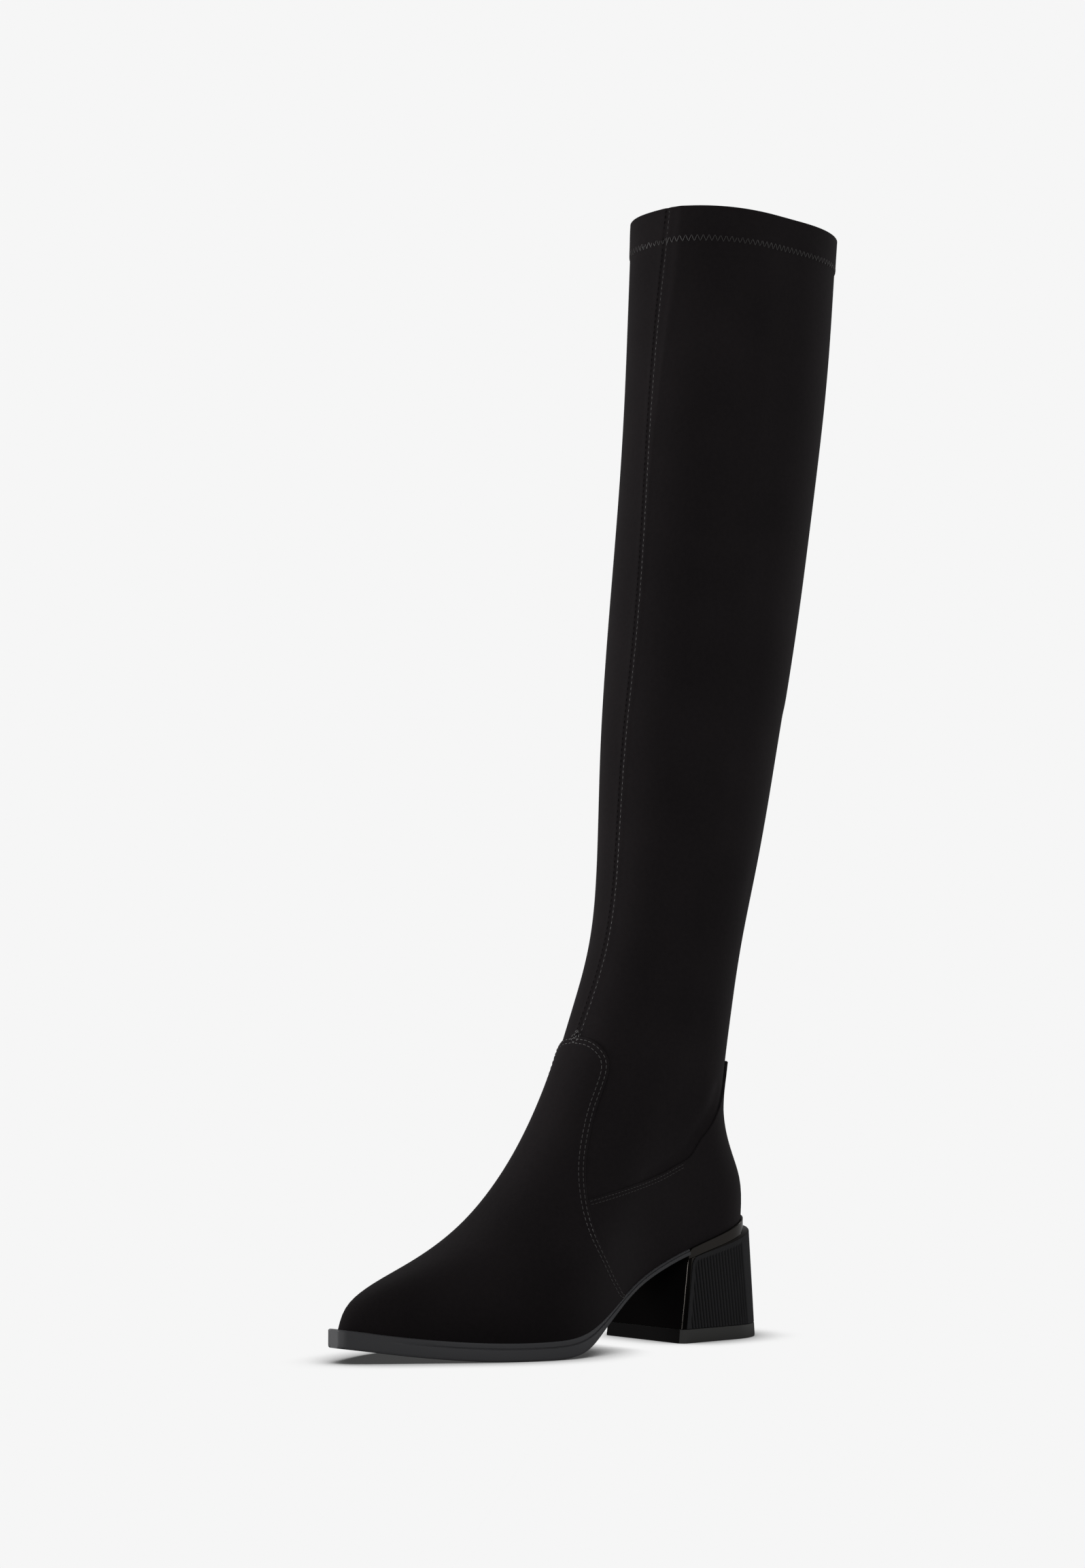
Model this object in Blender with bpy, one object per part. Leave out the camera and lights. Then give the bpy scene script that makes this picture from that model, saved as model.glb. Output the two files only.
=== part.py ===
"""Over-the-knee boot for the left foot, as an assembly of its pieces.

Sizes are in millimetres, in the shoemaker's axes: x runs forward from near the back of the
heel, y towards the outer side of the foot, and z up from the floor. The meshes are made
there, in metres, and stand_on_origin moves them all at the end.
"""

import math

import bmesh
import bpy
import numpy as np
from mathutils import Matrix, Vector

MM = 0.001

# Driving sizes.
TOTAL_HEIGHT = 589.0
SOLE_THICKNESS = 9.0
SHANK_THICKNESS = 3.0
TOE_SPRING = 7.0
SOLE_FRONT = 259.0
SOLE_LEDGE = 2.4
SEAT_FRONT = 61.4
TOE_SEAM = SOLE_THICKNESS + 0.97 * TOE_SPRING
HEEL_BACK = 11.3
HEEL_SEAM = 59.0
WALL = 1.6
GAP = 0.3
PANEL = 0.7
PANEL_LIFT = 0.5
PANEL_GAP = 0.5
HEM = 0.7
HEM_FROM = 0.974
SOLE_STEP = 0.6
INSOLE_THICKNESS = 2.0
INSOLE_MARGIN = 1.0
INSOLE_END_ANGLE = 0.3

# The heel block: its back, its front, and its outer and inner side, at the floor and at the
# seat, then the round back and what sits on the block.
HEEL_FLOOR = (-0.2, 68.0, 28.9, -32.6)
HEEL_SEAT = (4.1, SEAT_FRONT, 28.2, -29.8)
HEEL_ROUND = 29.0
HEEL_NOSE = 0.12
HEEL_CURVED = 6
LIFT_HEIGHT = 7.0
LIFT_CHAMFER = 2.6
RIM_HEIGHT = 4.6
RIM_LIP = 0.9
STRIP_WIDTH = 3.4
COVER_WALL = 2.6
COVER_CORNER = 4.5
RIB_COUNT = 18
RIB_DEPTH = 0.6
RIB_BORDER = 2.0

# The zip on the inner side: its middle line in the side view, widths, and the pull.
ZIP_LINE = (
    (0.0, 107.0), (26.0, 107.5), (50.0, 107.0), (75.0, 105.0), (100.0, 101.0),
    (125.0, 95.0), (148.0, 87.0), (172.0, 76.0), (197.0, 64.0), (230.0, 52.0), (268.0, 42.0),
    (300.0, 34.0),
)
ZIP_ROOM_TOP = 160.0
ZIP_BOTTOM = 0.004
ZIP_TOP = 0.455
ZIP_TAPE_HALF = 7.0
ZIP_TAPE = 0.6
ZIP_TEETH_HALF = 2.4
ZIP_TEETH_TOP = 2.4
ZIP_SLIDER_DOWN = 0.012
SLIDER_PLATE = 1.6
SLIDER_HALF = 3.6
BRIDGE_HALF = 1.1
PIN_ROOM = 1.1
PIN_LIFT = ZIP_TEETH_TOP + GAP + SLIDER_PLATE + PIN_ROOM
PULL_THICKNESS = 1.1
PULL_LENGTH = 24.0
PULL_HALF = 2.6
PULL_EYE_HALF = 1.7
PULL_EYE_LENGTH = 4.6

# The sole line, where upper and sole meet, seen from the side, and the sole's thickness.
SOLE_LINE_COLUMNS = ("x", "top", "thickness")
SOLE_LINE = (
    (-6.0, HEEL_SEAM + 3.8, SHANK_THICKNESS),
    (HEEL_BACK, HEEL_SEAM, SHANK_THICKNESS),
    (35.0, 53.4, SHANK_THICKNESS),
    (SEAT_FRONT, 47.6, SHANK_THICKNESS),
    (80.0, 41.6, SHANK_THICKNESS),
    (100.0, 33.4, SHANK_THICKNESS),
    (118.0, 24.4, 3.4),
    (132.0, 17.4, 5.0),
    (145.0, 12.2, 8.0),
    (158.0, 9.6, SOLE_THICKNESS),
    (170.0, SOLE_THICKNESS, SOLE_THICKNESS + 0.1),
    (190.0, SOLE_THICKNESS, SOLE_THICKNESS + 0.1),
    (210.0, SOLE_THICKNESS + 0.15 * TOE_SPRING, SOLE_THICKNESS),
    (232.0, SOLE_THICKNESS + 0.5 * TOE_SPRING, SOLE_THICKNESS),
    (254.0, TOE_SEAM, SOLE_THICKNESS),
    (SOLE_FRONT, SOLE_THICKNESS + 1.07 * TOE_SPRING, SOLE_THICKNESS),
)

# The sole's edge seen from below: y of its outer and of its inner side.
SOLE_PLAN_COLUMNS = ("x", "outer_y", "inner_y")
SOLE_PLAN = (
    (-6.0, 27.0, -29.0),
    (30.0, 28.0, -29.5),
    (SEAT_FRONT, 28.5, -28.5),
    (80.0, 29.5, -26.5),
    (100.0, 32.5, -25.0),
    (120.0, 39.0, -27.0),
    (140.0, 45.5, -32.0),
    (155.0, 48.0, -35.5),
    (170.0, 46.5, -38.0),
    (185.0, 41.5, -39.5),
    (200.0, 33.0, -39.0),
    (220.0, 20.0, -35.5),
    (240.0, 7.0, -27.0),
    (SOLE_FRONT, -5.0, -17.0),
)

# The upper's surface, a row for each section from the sole line to the collar. A section is
# a ring through a point of the front line and a point of the back line: x and z of both,
# the leg's half width, how much of the sole's plan is left in it, how deep its front and
# its back are rounded, and y of the leg's middle and of the front line.
UPPER_COLUMNS = (
    "front_x", "front_z", "back_x", "back_z", "half", "plan",
    "front_round", "back_round", "middle_y", "front_y",
)
UPPER_SECTIONS = (
    (253.0, TOE_SEAM, HEEL_BACK, HEEL_SEAM, 28.4, 1.00, 10.0, 27.0, -1.0, -11.0),
    (248.8, 24.7, 10.7, 69.0, 29.7, 0.95, 16.0, 27.0, -1.0, -11.0),
    (236.2, 33.6, 12.1, 81.5, 30.7, 0.85, 23.0, 26.0, -1.0, -10.0),
    (211.5, 44.0, 17.8, 95.5, 31.7, 0.70, 32.0, 26.0, -1.0, -8.0),
    (180.2, 61.6, 23.9, 109.5, 32.2, 0.50, 45.0, 27.0, -0.5, -5.0),
    (149.1, 93.3, 26.3, 123.5, 32.4, 0.28, 52.0, 29.0, 0.0, -2.5),
    (125.2, 131.6, 24.7, 140.0, 32.7, 0.10, 50.0, 32.0, 0.0, -1.0),
    (109.0, 167.0, 20.0, 168.0, 33.2, 0.00, 45.0, 36.0, 0.5, 0.0),
    (95.8, 203.0, 12.8, 203.0, 34.2, 0.00, 42.0, 40.0, 1.0, 1.0),
    (89.8, 250.0, 1.5, 250.0, 35.8, 0.00, 43.0, 43.0, 2.5, 2.5),
    (88.5, 310.0, -10.5, 310.0, 38.2, 0.00, 46.0, 46.0, 4.5, 4.5),
    (81.6, 400.0, -25.7, 400.0, 40.8, 0.00, 49.0, 49.0, 7.8, 7.8),
    (75.5, 500.0, -39.2, 500.0, 42.0, 0.00, 51.0, 51.0, 11.2, 11.2),
    (73.5, TOTAL_HEIGHT, -46.5, 585.0, 42.0, 0.00, 52.0, 52.0, 14.0, 14.0),
)
SECTION_POWER = 2.3

# The panels' edges in the side view: the vamp's from the front line down to the sole, and
# the counter's from the vamp back and up to the top of the heel tab.
VAMP_EDGE = (
    (121.0, 158.6), (114.0, 156.4), (111.6, 152.0), (110.2, 146.5), (110.8, 140.0),
    (113.4, 133.0), (119.5, 120.5), (125.8, 106.0), (130.8, 92.5), (134.0, 78.0),
    (134.5, 66.0), (132.5, 56.0), (128.0, 47.0), (121.3, 37.0), (113.5, 28.0), (108.0, 20.0),
)
COUNTER_EDGE = (
    (133.6, 75.6), (122.4, 78.0), (110.0, 80.5), (96.4, 83.3), (81.7, 87.1), (70.5, 91.2),
    (61.0, 96.0), (56.0, 102.5), (50.5, 108.0), (45.7, 113.8), (41.0, 120.5), (36.8, 129.0),
    (34.0, 137.0), (33.0, 143.5),
)
EDGE_STEPS = 700
UPPER_COLUMNS_ROUND = 36
FOOT_RINGS = 20
SHAFT_RINGS = 10


def column(table, names, name):
    return np.array([row[names.index(name)] for row in table], float)


def spline(knots, values, at):
    """The natural cubic curve through the values, read at the places given."""
    count = len(knots)
    step = np.diff(knots)
    slope = np.diff(values) / step
    matrix = np.eye(count)
    right = np.zeros(count)
    for i in range(1, count - 1):
        matrix[i, i - 1 : i + 2] = step[i - 1], 2 * (step[i - 1] + step[i]), step[i]
        right[i] = 6 * (slope[i] - slope[i - 1])
    bend = np.linalg.solve(matrix, right)
    at = np.clip(np.asarray(at, float), knots[0], knots[-1])
    cell = np.clip(np.searchsorted(knots, at, side="right") - 1, 0, count - 2)
    width = step[cell]
    after = at - knots[cell]
    before = width - after
    curved = (bend[cell] * before**3 + bend[cell + 1] * after**3) / (6 * width)
    left = (values[cell] / width - bend[cell] * width / 6) * before
    return curved + left + (values[cell + 1] / width - bend[cell + 1] * width / 6) * after


def sole_line(name, x):
    return spline(
        column(SOLE_LINE, SOLE_LINE_COLUMNS, "x"),
        column(SOLE_LINE, SOLE_LINE_COLUMNS, name),
        x,
    )


def sole_plan(name, x):
    return spline(
        column(SOLE_PLAN, SOLE_PLAN_COLUMNS, "x"),
        column(SOLE_PLAN, SOLE_PLAN_COLUMNS, name),
        x,
    )


def section_heights():
    """Where each row of UPPER_SECTIONS comes, from 0 at the sole line to 1 at the collar."""
    way = 0.0
    for name in ("front", "back"):
        x = column(UPPER_SECTIONS, UPPER_COLUMNS, name + "_x")
        z = column(UPPER_SECTIONS, UPPER_COLUMNS, name + "_z")
        way = way + np.hypot(np.diff(x), np.diff(z))
    return np.concatenate([[0.0], np.cumsum(way)]) / np.sum(way)


def section(name, t):
    return spline(section_heights(), column(UPPER_SECTIONS, UPPER_COLUMNS, name), t)


def inset_share(x, z, line):
    """How far points of the side view lie in from the front or back line, in roundings of it."""
    t = np.linspace(0.0, 1.0, EDGE_STEPS)
    line_x = section(line + "_x", t)
    line_z = section(line + "_z", t)
    rounding = section(line + "_round", t)
    step_x = np.diff(line_x)
    step_z = np.diff(line_z)
    from_x = x.reshape(-1, 1) - line_x[:-1]
    from_z = z.reshape(-1, 1) - line_z[:-1]
    along = (from_x * step_x + from_z * step_z) / (step_x**2 + step_z**2)
    along = np.clip(along, 0.0, 1.0)
    away = np.hypot(from_x - along * step_x, from_z - along * step_z)
    nearest = np.argmin(away, axis=1)
    share = away[np.arange(away.shape[0]), nearest] / rounding[nearest]
    return share.reshape(x.shape)


def rounded(share):
    """From 0 on a rounded edge to 1 where the side is flat, as a superellipse."""
    rest = 1.0 - np.clip(share, 0.0, 1.0)
    return (1.0 - rest**SECTION_POWER) ** (1.0 / SECTION_POWER)


def upper_surface(t, angle):
    """Points of the upper's outside. The angle runs from the front line over the outer side
    (pi / 2) to the back line (pi) and on over the inner side."""
    t, angle = np.broadcast_arrays(np.asarray(t, float), np.asarray(angle, float))
    share = (1.0 - np.cos(angle)) / 2.0
    side = np.sign(np.sin(angle))
    front_x = section("front_x", t)
    back_x = section("back_x", t)
    plan = section("plan", t)
    x = front_x + (back_x - front_x) * share
    rise_front = section("front_z", t) - plan * sole_line("top", front_x)
    rise_back = section("back_z", t) - plan * sole_line("top", back_x)
    z = rise_front + (rise_back - rise_front) * share + plan * sole_line("top", x)
    outer = sole_plan("outer_y", x)
    inner = sole_plan("inner_y", x)
    half = plan * ((outer - inner) / 2 - SOLE_LEDGE) + (1 - plan) * section("half", t)
    middle = plan * (outer + inner) / 2 + (1 - plan) * section("middle_y", t)
    front = rounded(inset_share(x, z, "front"))
    back = rounded(inset_share(x, z, "back"))
    y = middle * front + section("front_y", t) * (1 - front) + side * half * front * back
    return np.stack([x, y, z], axis=-1)


def upper_normal(t, angle):
    """Outward unit normals of the upper. Along the sole line they lie flat."""
    small = 1e-3
    t, angle = np.broadcast_arrays(np.asarray(t, float), np.asarray(angle, float))
    around = upper_surface(t, angle + small) - upper_surface(t, angle - small)
    above = np.minimum(t + small, 1.0)
    below = np.maximum(t - small, 0.0)
    up = upper_surface(above, angle) - upper_surface(below, angle)
    normal = np.cross(around, up)
    normal[..., 2] = np.where(t <= 0.0, 0.0, normal[..., 2])
    return normal / np.linalg.norm(normal, axis=-1, keepdims=True)


def upper_offset(t, angle, lift):
    """The upper's outside moved out by lift, or in where lift is negative."""
    point = upper_surface(t, angle) + lift * upper_normal(t, angle)
    on_sole = sole_line("top", point[..., 0])
    point[..., 2] = np.where(np.asarray(t) + 0 * point[..., 2] <= 0.0, on_sole, point[..., 2])
    return point


def material(name, colour, roughness, metallic=0.0):
    made = bpy.data.materials.new(name)
    made.use_nodes = True
    shader = made.node_tree.nodes["Principled BSDF"]
    shader.inputs["Base Color"].default_value = (*colour, 1.0)
    shader.inputs["Roughness"].default_value = roughness
    shader.inputs["Metallic"].default_value = metallic
    return made


def solid(name, points, faces, finish):
    """An object from points in millimetres and the faces of one closed body."""
    mesh = bpy.data.meshes.new(name)
    mesh.from_pydata((np.reshape(points, (-1, 3)) * MM).tolist(), [], faces)
    work = bmesh.new()
    work.from_mesh(mesh)
    bmesh.ops.recalc_face_normals(work, faces=work.faces)
    work.to_mesh(mesh)
    work.free()
    mesh.shade_smooth()
    mesh.set_sharp_from_angle(angle=math.radians(35))
    if finish:
        mesh.materials.append(finish)
    made = bpy.data.objects.new(name, mesh)
    bpy.context.scene.collection.objects.link(made)
    return made


def ring_faces(rows, columns, closed):
    """Quads between rings of points, where closed joins the last ring to the first."""
    faces = []
    for row in range(rows if closed else rows - 1):
        after = (row + 1) % rows
        for here in range(columns):
            there = (here + 1) % columns
            faces.append(
                (
                    row * columns + here,
                    row * columns + there,
                    after * columns + there,
                    after * columns + here,
                )
            )
    return faces


def end_faces(first, columns):
    """Closes a ring of an even number of points with a strip across it."""
    faces = []
    for here in range(columns // 2 - 1):
        across = columns - 1 - here
        faces.append((first + here, first + here + 1, first + across - 1, first + across))
    return faces


def tube(name, rings, finish):
    """A hollow body: its rings run up the outside and back down the inside."""
    return solid(name, rings, ring_faces(len(rings), len(rings[0]), True), finish)


def loft(name, rings, finish):
    """A full body through rings of points, closed at both ends."""
    rows = len(rings)
    columns = len(rings[0])
    faces = ring_faces(rows, columns, False)
    faces += end_faces(0, columns) + end_faces((rows - 1) * columns, columns)
    return solid(name, rings, faces, finish)


def upper_heights():
    """The t of each ring of the upper's mesh, closer together on the foot."""
    ankle = section_heights()[7]
    foot = np.linspace(0.0, ankle, FOOT_RINGS)
    way = np.linspace(0.0, 1.0, SHAFT_RINGS + 1)[1:]
    shaft = ankle + (1.0 - ankle) * way**1.5
    return np.concatenate([foot, shaft])


def upper_angles():
    even = np.linspace(0.0, 2 * math.pi, UPPER_COLUMNS_ROUND, endpoint=False)
    return even + 0.12 * np.sin(2 * even)


def make_upper(finish):
    """The hollow shaft and foot, open at the collar and underneath."""
    t, angle = np.meshgrid(upper_heights(), upper_angles(), indexing="ij")
    outside = upper_surface(t, angle)
    inside = upper_offset(t, angle, -WALL)
    return tube("upper", np.concatenate([outside, inside[::-1]]), finish)


def make_outsole(finish):
    """Forefoot, arch and shank in one piece, with a crease a third of the way down its side."""
    arch = np.linspace(SEAT_FRONT + GAP, 160.0, 14)
    forefoot = np.linspace(170.0, 240.0, 8)
    toe = np.linspace(246.0, SOLE_FRONT, 3)
    rings = []
    for x in np.concatenate([arch, forefoot, toe]):
        top = float(sole_line("top", x)) - GAP
        bottom = max(float(sole_line("top", x) - sole_line("thickness", x)), 0.0)
        thickness = top - bottom
        outer = float(sole_plan("outer_y", x))
        inner = float(sole_plan("inner_y", x))
        bevel = 0.12 * thickness
        side = (
            (SOLE_STEP, top),
            (SOLE_STEP, top - thickness / 3),
            (0.0, top - thickness / 3 - bevel / 2),
            (0.0, top - thickness + bevel),
            (bevel, top - thickness),
        )
        ring = [(x, outer - inset, z) for inset, z in side]
        ring += [(x, inner + inset, z) for inset, z in reversed(side)]
        rings.append(ring)
    return loft("outsole", np.array(rings), finish)


def make_insole(finish):
    """The sock that lies on the sole inside the upper's wall."""
    angle = upper_angles()
    outer = angle[(angle > INSOLE_END_ANGLE) & (angle < math.pi - INSOLE_END_ANGLE)]
    rings = []
    for here in outer:
        left = upper_offset(0.0, here, -WALL - INSOLE_MARGIN)
        right = upper_offset(0.0, 2 * math.pi - here, -WALL - INSOLE_MARGIN)
        up = np.array([0.0, 0.0, INSOLE_THICKNESS])
        rings.append([left, left + up, right + up, right])
    return loft("insole", np.array(rings), finish)


def foot_shell(name, low, high, finish):
    """A layer over the whole foot, between two lifts off the upper."""
    t, angle = np.meshgrid(upper_heights()[:FOOT_RINGS], upper_angles(), indexing="ij")
    outside = upper_offset(t, angle, high)
    inside = upper_offset(t, angle, low)
    return tube(name, np.concatenate([outside, inside[::-1]]), finish)


def side_cutter(name, outline, y_from, y_to):
    """A prism through the boot with its outline in the side view."""
    rings = [[(x, y, z) for x, z in outline] for y in (y_from, y_to)]
    count = len(outline)
    faces = ring_faces(2, count, False)
    faces += [tuple(range(count)), tuple(range(count, 2 * count))]
    cutter = solid(name, rings, faces, None)
    cutter.hide_render = True
    cutter.display_type = "WIRE"
    return cutter


def cut(target, cutter, operation):
    boolean = target.modifiers.new(cutter.name, "BOOLEAN")
    boolean.operation = operation
    boolean.solver = "EXACT"
    boolean.object = cutter


def make_vamp(finish):
    """The front panel, from the toe up to the ankle, laid over the shaft."""
    vamp = foot_shell("vamp", PANEL_LIFT, PANEL_LIFT + PANEL, finish)
    beyond = SOLE_FRONT + 20.0
    outline = ((beyond, 0.0), (beyond, VAMP_EDGE[0][1]), *VAMP_EDGE, (VAMP_EDGE[-1][0], 0.0))
    cut(vamp, side_cutter("vamp_outline", outline, -80.0, 80.0), "INTERSECT")
    return vamp


def make_counter(finish):
    """The panel round the heel, with the tab that stands up its back."""
    counter = foot_shell("counter", PANEL_LIFT, PANEL_LIFT + PANEL, finish)
    under_vamp = [(x - PANEL_GAP, z) for x, z in VAMP_EDGE if z < COUNTER_EDGE[0][1]]
    outline = (*COUNTER_EDGE, (-40.0, COUNTER_EDGE[-1][1]), (-40.0, 0.0))
    outline = (*outline, (under_vamp[-1][0], 0.0), *reversed(under_vamp))
    cut(counter, side_cutter("counter_outline", outline, -80.0, 80.0), "INTERSECT")
    room = ZIP_TAPE_HALF + 2 * GAP
    fore = [(x + room, z) for z, x in ZIP_LINE if z < ZIP_ROOM_TOP]
    rear = [(x - room, z) for z, x in ZIP_LINE if z < ZIP_ROOM_TOP]
    corridor = (
        (fore[0][0] + PANEL_GAP, 0.0),
        (fore[-1][0] + 40.0, 0.0),
        (fore[-1][0] + 40.0, fore[-1][1]),
        *reversed(rear),
        (rear[0][0], 0.0),
    )
    cut(counter, side_cutter("zip_corridor", corridor, -80.0, -8.0), "DIFFERENCE")
    return counter


def make_collar_hem(finish):
    """The turned edge round the collar, one more layer of the stretch cloth."""
    t, angle = np.meshgrid(np.array([HEM_FROM, 1.0]), upper_angles(), indexing="ij")
    outside = upper_offset(t, angle, GAP + HEM)
    inside = upper_offset(t, angle, GAP)
    return tube("collar_hem", np.concatenate([outside, inside[::-1]]), finish)


def heel_outline(level, side_inset, back_inset, straight, curved=HEEL_CURVED):
    """x and y round the heel at a level between the floor (0) and the seat (1), from the
    outer front corner round the back to the inner one. The straight shares run from 0 at
    the front to 1 where the round back begins."""
    back, front, outer, inner = (
        low + (high - low) * level for low, high in zip(HEEL_FLOOR, HEEL_SEAT)
    )
    back += back_inset
    corner = back + HEEL_ROUND
    turn = np.linspace(0.0, math.pi / 2, curved + 1)[1:-1]
    side_x = front + (corner - front) * np.asarray(straight, float)
    x = np.concatenate([side_x, corner - HEEL_ROUND * np.sin(turn)])
    share = np.concatenate([np.ones(len(side_x)), np.cos(turn)])
    middle = (outer + inner) / 2
    half = (outer - inner) / 2 - side_inset
    left = np.stack([x, middle + half * share], axis=1)
    right = np.stack([x, middle - half * share], axis=1)
    nose = HEEL_NOSE * half
    tip = np.array([[back, middle + nose], [back, middle - nose]])
    return np.concatenate([left, tip, right[::-1]])


def at_height(outline, z):
    """The outline as a ring at a height, which may be an array."""
    return np.column_stack([outline, np.broadcast_to(z, len(outline))])


def seat_height(outline):
    return sole_line("top", outline[:, 0]) - GAP


def rim_outline(outline):
    """A heel outline drawn in to the upper's own, with a small lip round it."""
    front_x = float(section("front_x", 0.0))
    back = outline[:, 0].min()
    along = (SEAT_FRONT - outline[:, 0]) / (SEAT_FRONT - back)
    x = SEAT_FRONT + (HEEL_BACK - SEAT_FRONT) * np.clip(along, 0.0, 1.0)
    angle = np.arccos(1.0 - 2.0 * (front_x - x) / (front_x - HEEL_BACK))
    angle = np.where(np.arange(len(outline)) < len(outline) / 2, angle, 2 * math.pi - angle)
    return upper_offset(0.0, angle, PANEL_LIFT + PANEL + RIM_LIP)[:, :2]


def make_heel_core(finish):
    """The plated block: a rim under the seat, a strip down each front corner, and between
    them the recess that holds the cover."""
    length = HEEL_FLOOR[1] - HEEL_FLOOR[0] - HEEL_ROUND
    strip = STRIP_WIDTH / length
    straight = (0.0, strip, strip + 0.003, 0.5, 1.0)
    rings = []
    for level, height in ((0.13, LIFT_HEIGHT + GAP), (0.9, None)):
        flush = heel_outline(level, GAP, GAP, straight)
        sunk = heel_outline(level, COVER_WALL + GAP, COVER_WALL + GAP, straight)
        ring = sunk.copy()
        ring[:2] = flush[:2]
        ring[-2:] = flush[-2:]
        below = seat_height(ring) - RIM_HEIGHT if height is None else height
        rings.append(at_height(ring, below))
    rim = rim_outline(heel_outline(1.0, GAP, GAP, straight))
    rings.append(at_height(rim, seat_height(rim) - RIM_HEIGHT + 0.2))
    rings.append(at_height(rim, seat_height(rim)))
    return loft("heel_core", np.array(rings), finish)


def make_heel_cover(finish):
    """The moulded cover round the sides and back, with upright ribs on both sides."""
    length = HEEL_FLOOR[1] - HEEL_FLOOR[0] - HEEL_ROUND
    edge = (STRIP_WIDTH + GAP) / length
    border = edge + RIB_BORDER / length
    ribs = np.linspace(border, 1.0, 2 * RIB_COUNT + 1)
    straight = np.concatenate([[edge], ribs])
    dip = np.zeros(len(straight))
    dip[2:-1:2] = RIB_DEPTH
    corner = np.clip(COVER_CORNER - (straight - edge) * length, 0.0, None)
    drop = COVER_CORNER - np.sqrt(COVER_CORNER**2 - corner**2)
    rows = ((0.13, True), (0.84, True), (0.855, False), (0.9, False))
    rings = []
    for row, (level, ribbed) in enumerate(rows):
        skin = heel_outline(level, 0.0, 0.0, straight)
        lining = heel_outline(level, COVER_WALL, COVER_WALL, straight)
        if ribbed:
            skin[: len(dip), 1] -= dip
            skin[-len(dip) :, 1] += dip[::-1]
        wall = np.concatenate([skin, lining[::-1]])
        if row == 0:
            height = np.full(len(wall), LIFT_HEIGHT + GAP)
        else:
            lower = (len(rows) - 1 - row) * RIB_BORDER * 0.5
            fall = np.zeros(len(skin))
            fall[: len(drop)] = drop
            fall[-len(drop) :] = drop[::-1]
            fall = np.concatenate([fall, fall[::-1]])
            height = seat_height(wall) - RIM_HEIGHT - GAP - lower - fall
        rings.append(at_height(wall, height))
    return loft("heel_cover", np.array(rings), finish)


def make_top_lift(finish):
    """The rubber plate that the heel walks on, its front corners cut off."""
    straight = (0.0, LIFT_CHAMFER / 40.0, 0.5, 1.0)
    rings = []
    for height, inset in ((0.0, 0.6), (0.7, 0.0), (LIFT_HEIGHT, 0.0)):
        level = height / HEEL_SEAM
        outline = heel_outline(level, inset, inset, straight)
        outline[0, 1] -= LIFT_CHAMFER
        outline[-1, 1] += LIFT_CHAMFER
        rings.append(at_height(outline, height))
    return loft("top_lift", np.array(rings), finish)


def zip_middle(t):
    """The angle at which the zip's middle line, on the inner side, crosses each section."""
    line_z = column(ZIP_LINE, ("z", "x"), "z")
    line_x = column(ZIP_LINE, ("z", "x"), "x")
    angle = np.full(np.shape(t), 1.5 * math.pi)
    for _ in range(12):
        height = upper_surface(t, angle)[..., 2]
        share = (section("front_x", t) - spline(line_z, line_x, height)) / (
            section("front_x", t) - section("back_x", t)
        )
        angle = 2 * math.pi - np.arccos(1.0 - 2.0 * share)
    return angle


def zip_strip(name, half, low, high, ends, steps, finish):
    """A strip along the zip's line, between two lifts off the upper."""
    t = np.linspace(*ends, steps)
    middle = zip_middle(t)
    small = 1e-3
    reach = upper_surface(t, middle + small) - upper_surface(t, middle - small)
    turn = half * 2 * small / np.linalg.norm(reach, axis=-1)
    rings = []
    for here, angle, step in zip(t, middle, turn):
        across = angle + step * np.array([-1.0, -0.5, 0.0, 0.5, 1.0])
        top = upper_offset(here, across, high)
        bottom = upper_offset(here, across, low)
        rings.append(np.concatenate([top, bottom[::-1]]))
    return loft(name, np.array(rings), finish)


def pull_axes():
    """The pull's pin: its middle, and the directions across, out of and up the zip."""
    t = np.array([ZIP_TOP - ZIP_SLIDER_DOWN])
    angle = zip_middle(t)
    out = upper_normal(t, angle)[0]
    middle = upper_offset(t, angle, PIN_LIFT)[0]
    up = upper_surface(t + 1e-3, zip_middle(t + 1e-3)) - upper_surface(t - 1e-3, zip_middle(t - 1e-3))
    up = up[0] - np.dot(up[0], out) * out
    up = up / np.linalg.norm(up)
    across = np.cross(out, up)
    return middle, across, out, up


def in_zip_axes(made):
    """Places a piece drawn in the zip's own axes: across, out and up from the pull's pin."""
    middle, across, out, up = pull_axes()
    made.matrix_world = Matrix(
        [[*(across[i], out[i], up[i]), middle[i] * MM] for i in range(3)] + [[0.0, 0.0, 0.0, 1.0]]
    )
    return made


def block(name, outline, half, finish):
    """A prism across the zip from an outline of out and up."""
    rings = [[(x, out, up) for out, up in outline] for x in (-half, half)]
    count = len(outline)
    faces = ring_faces(2, count, False)
    faces += [tuple(range(count)), tuple(range(count, 2 * count))]
    return solid(name, rings, faces, finish)


def make_zip_slider(finish):
    """The slider's plate with the bridge that the pull hangs on."""
    top = -PIN_ROOM
    plate = (
        (top - SLIDER_PLATE, -5.5), (top - SLIDER_PLATE, 5.5), (top - 0.4, 5.5),
        (top, 5.0), (top, -5.0), (top - 0.4, -5.5),
    )
    slider = in_zip_axes(block("zip_slider", plate, SLIDER_HALF, finish))
    foot = top - SLIDER_PLATE / 2
    arch = (
        (foot, -3.6), (0.6, -3.2), (1.9, -2.0), (1.9, 2.0), (0.6, 3.2), (foot, 3.6),
        (foot, 2.4), (0.3, 2.0), (1.0, 1.4), (1.0, -1.4), (0.3, -2.0), (foot, -2.4),
    )
    bridge = in_zip_axes(block("zip_bridge", arch, BRIDGE_HALF, finish))
    bridge.hide_render = True
    bridge.display_type = "WIRE"
    cut(slider, bridge, "UNION")
    return slider


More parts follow.
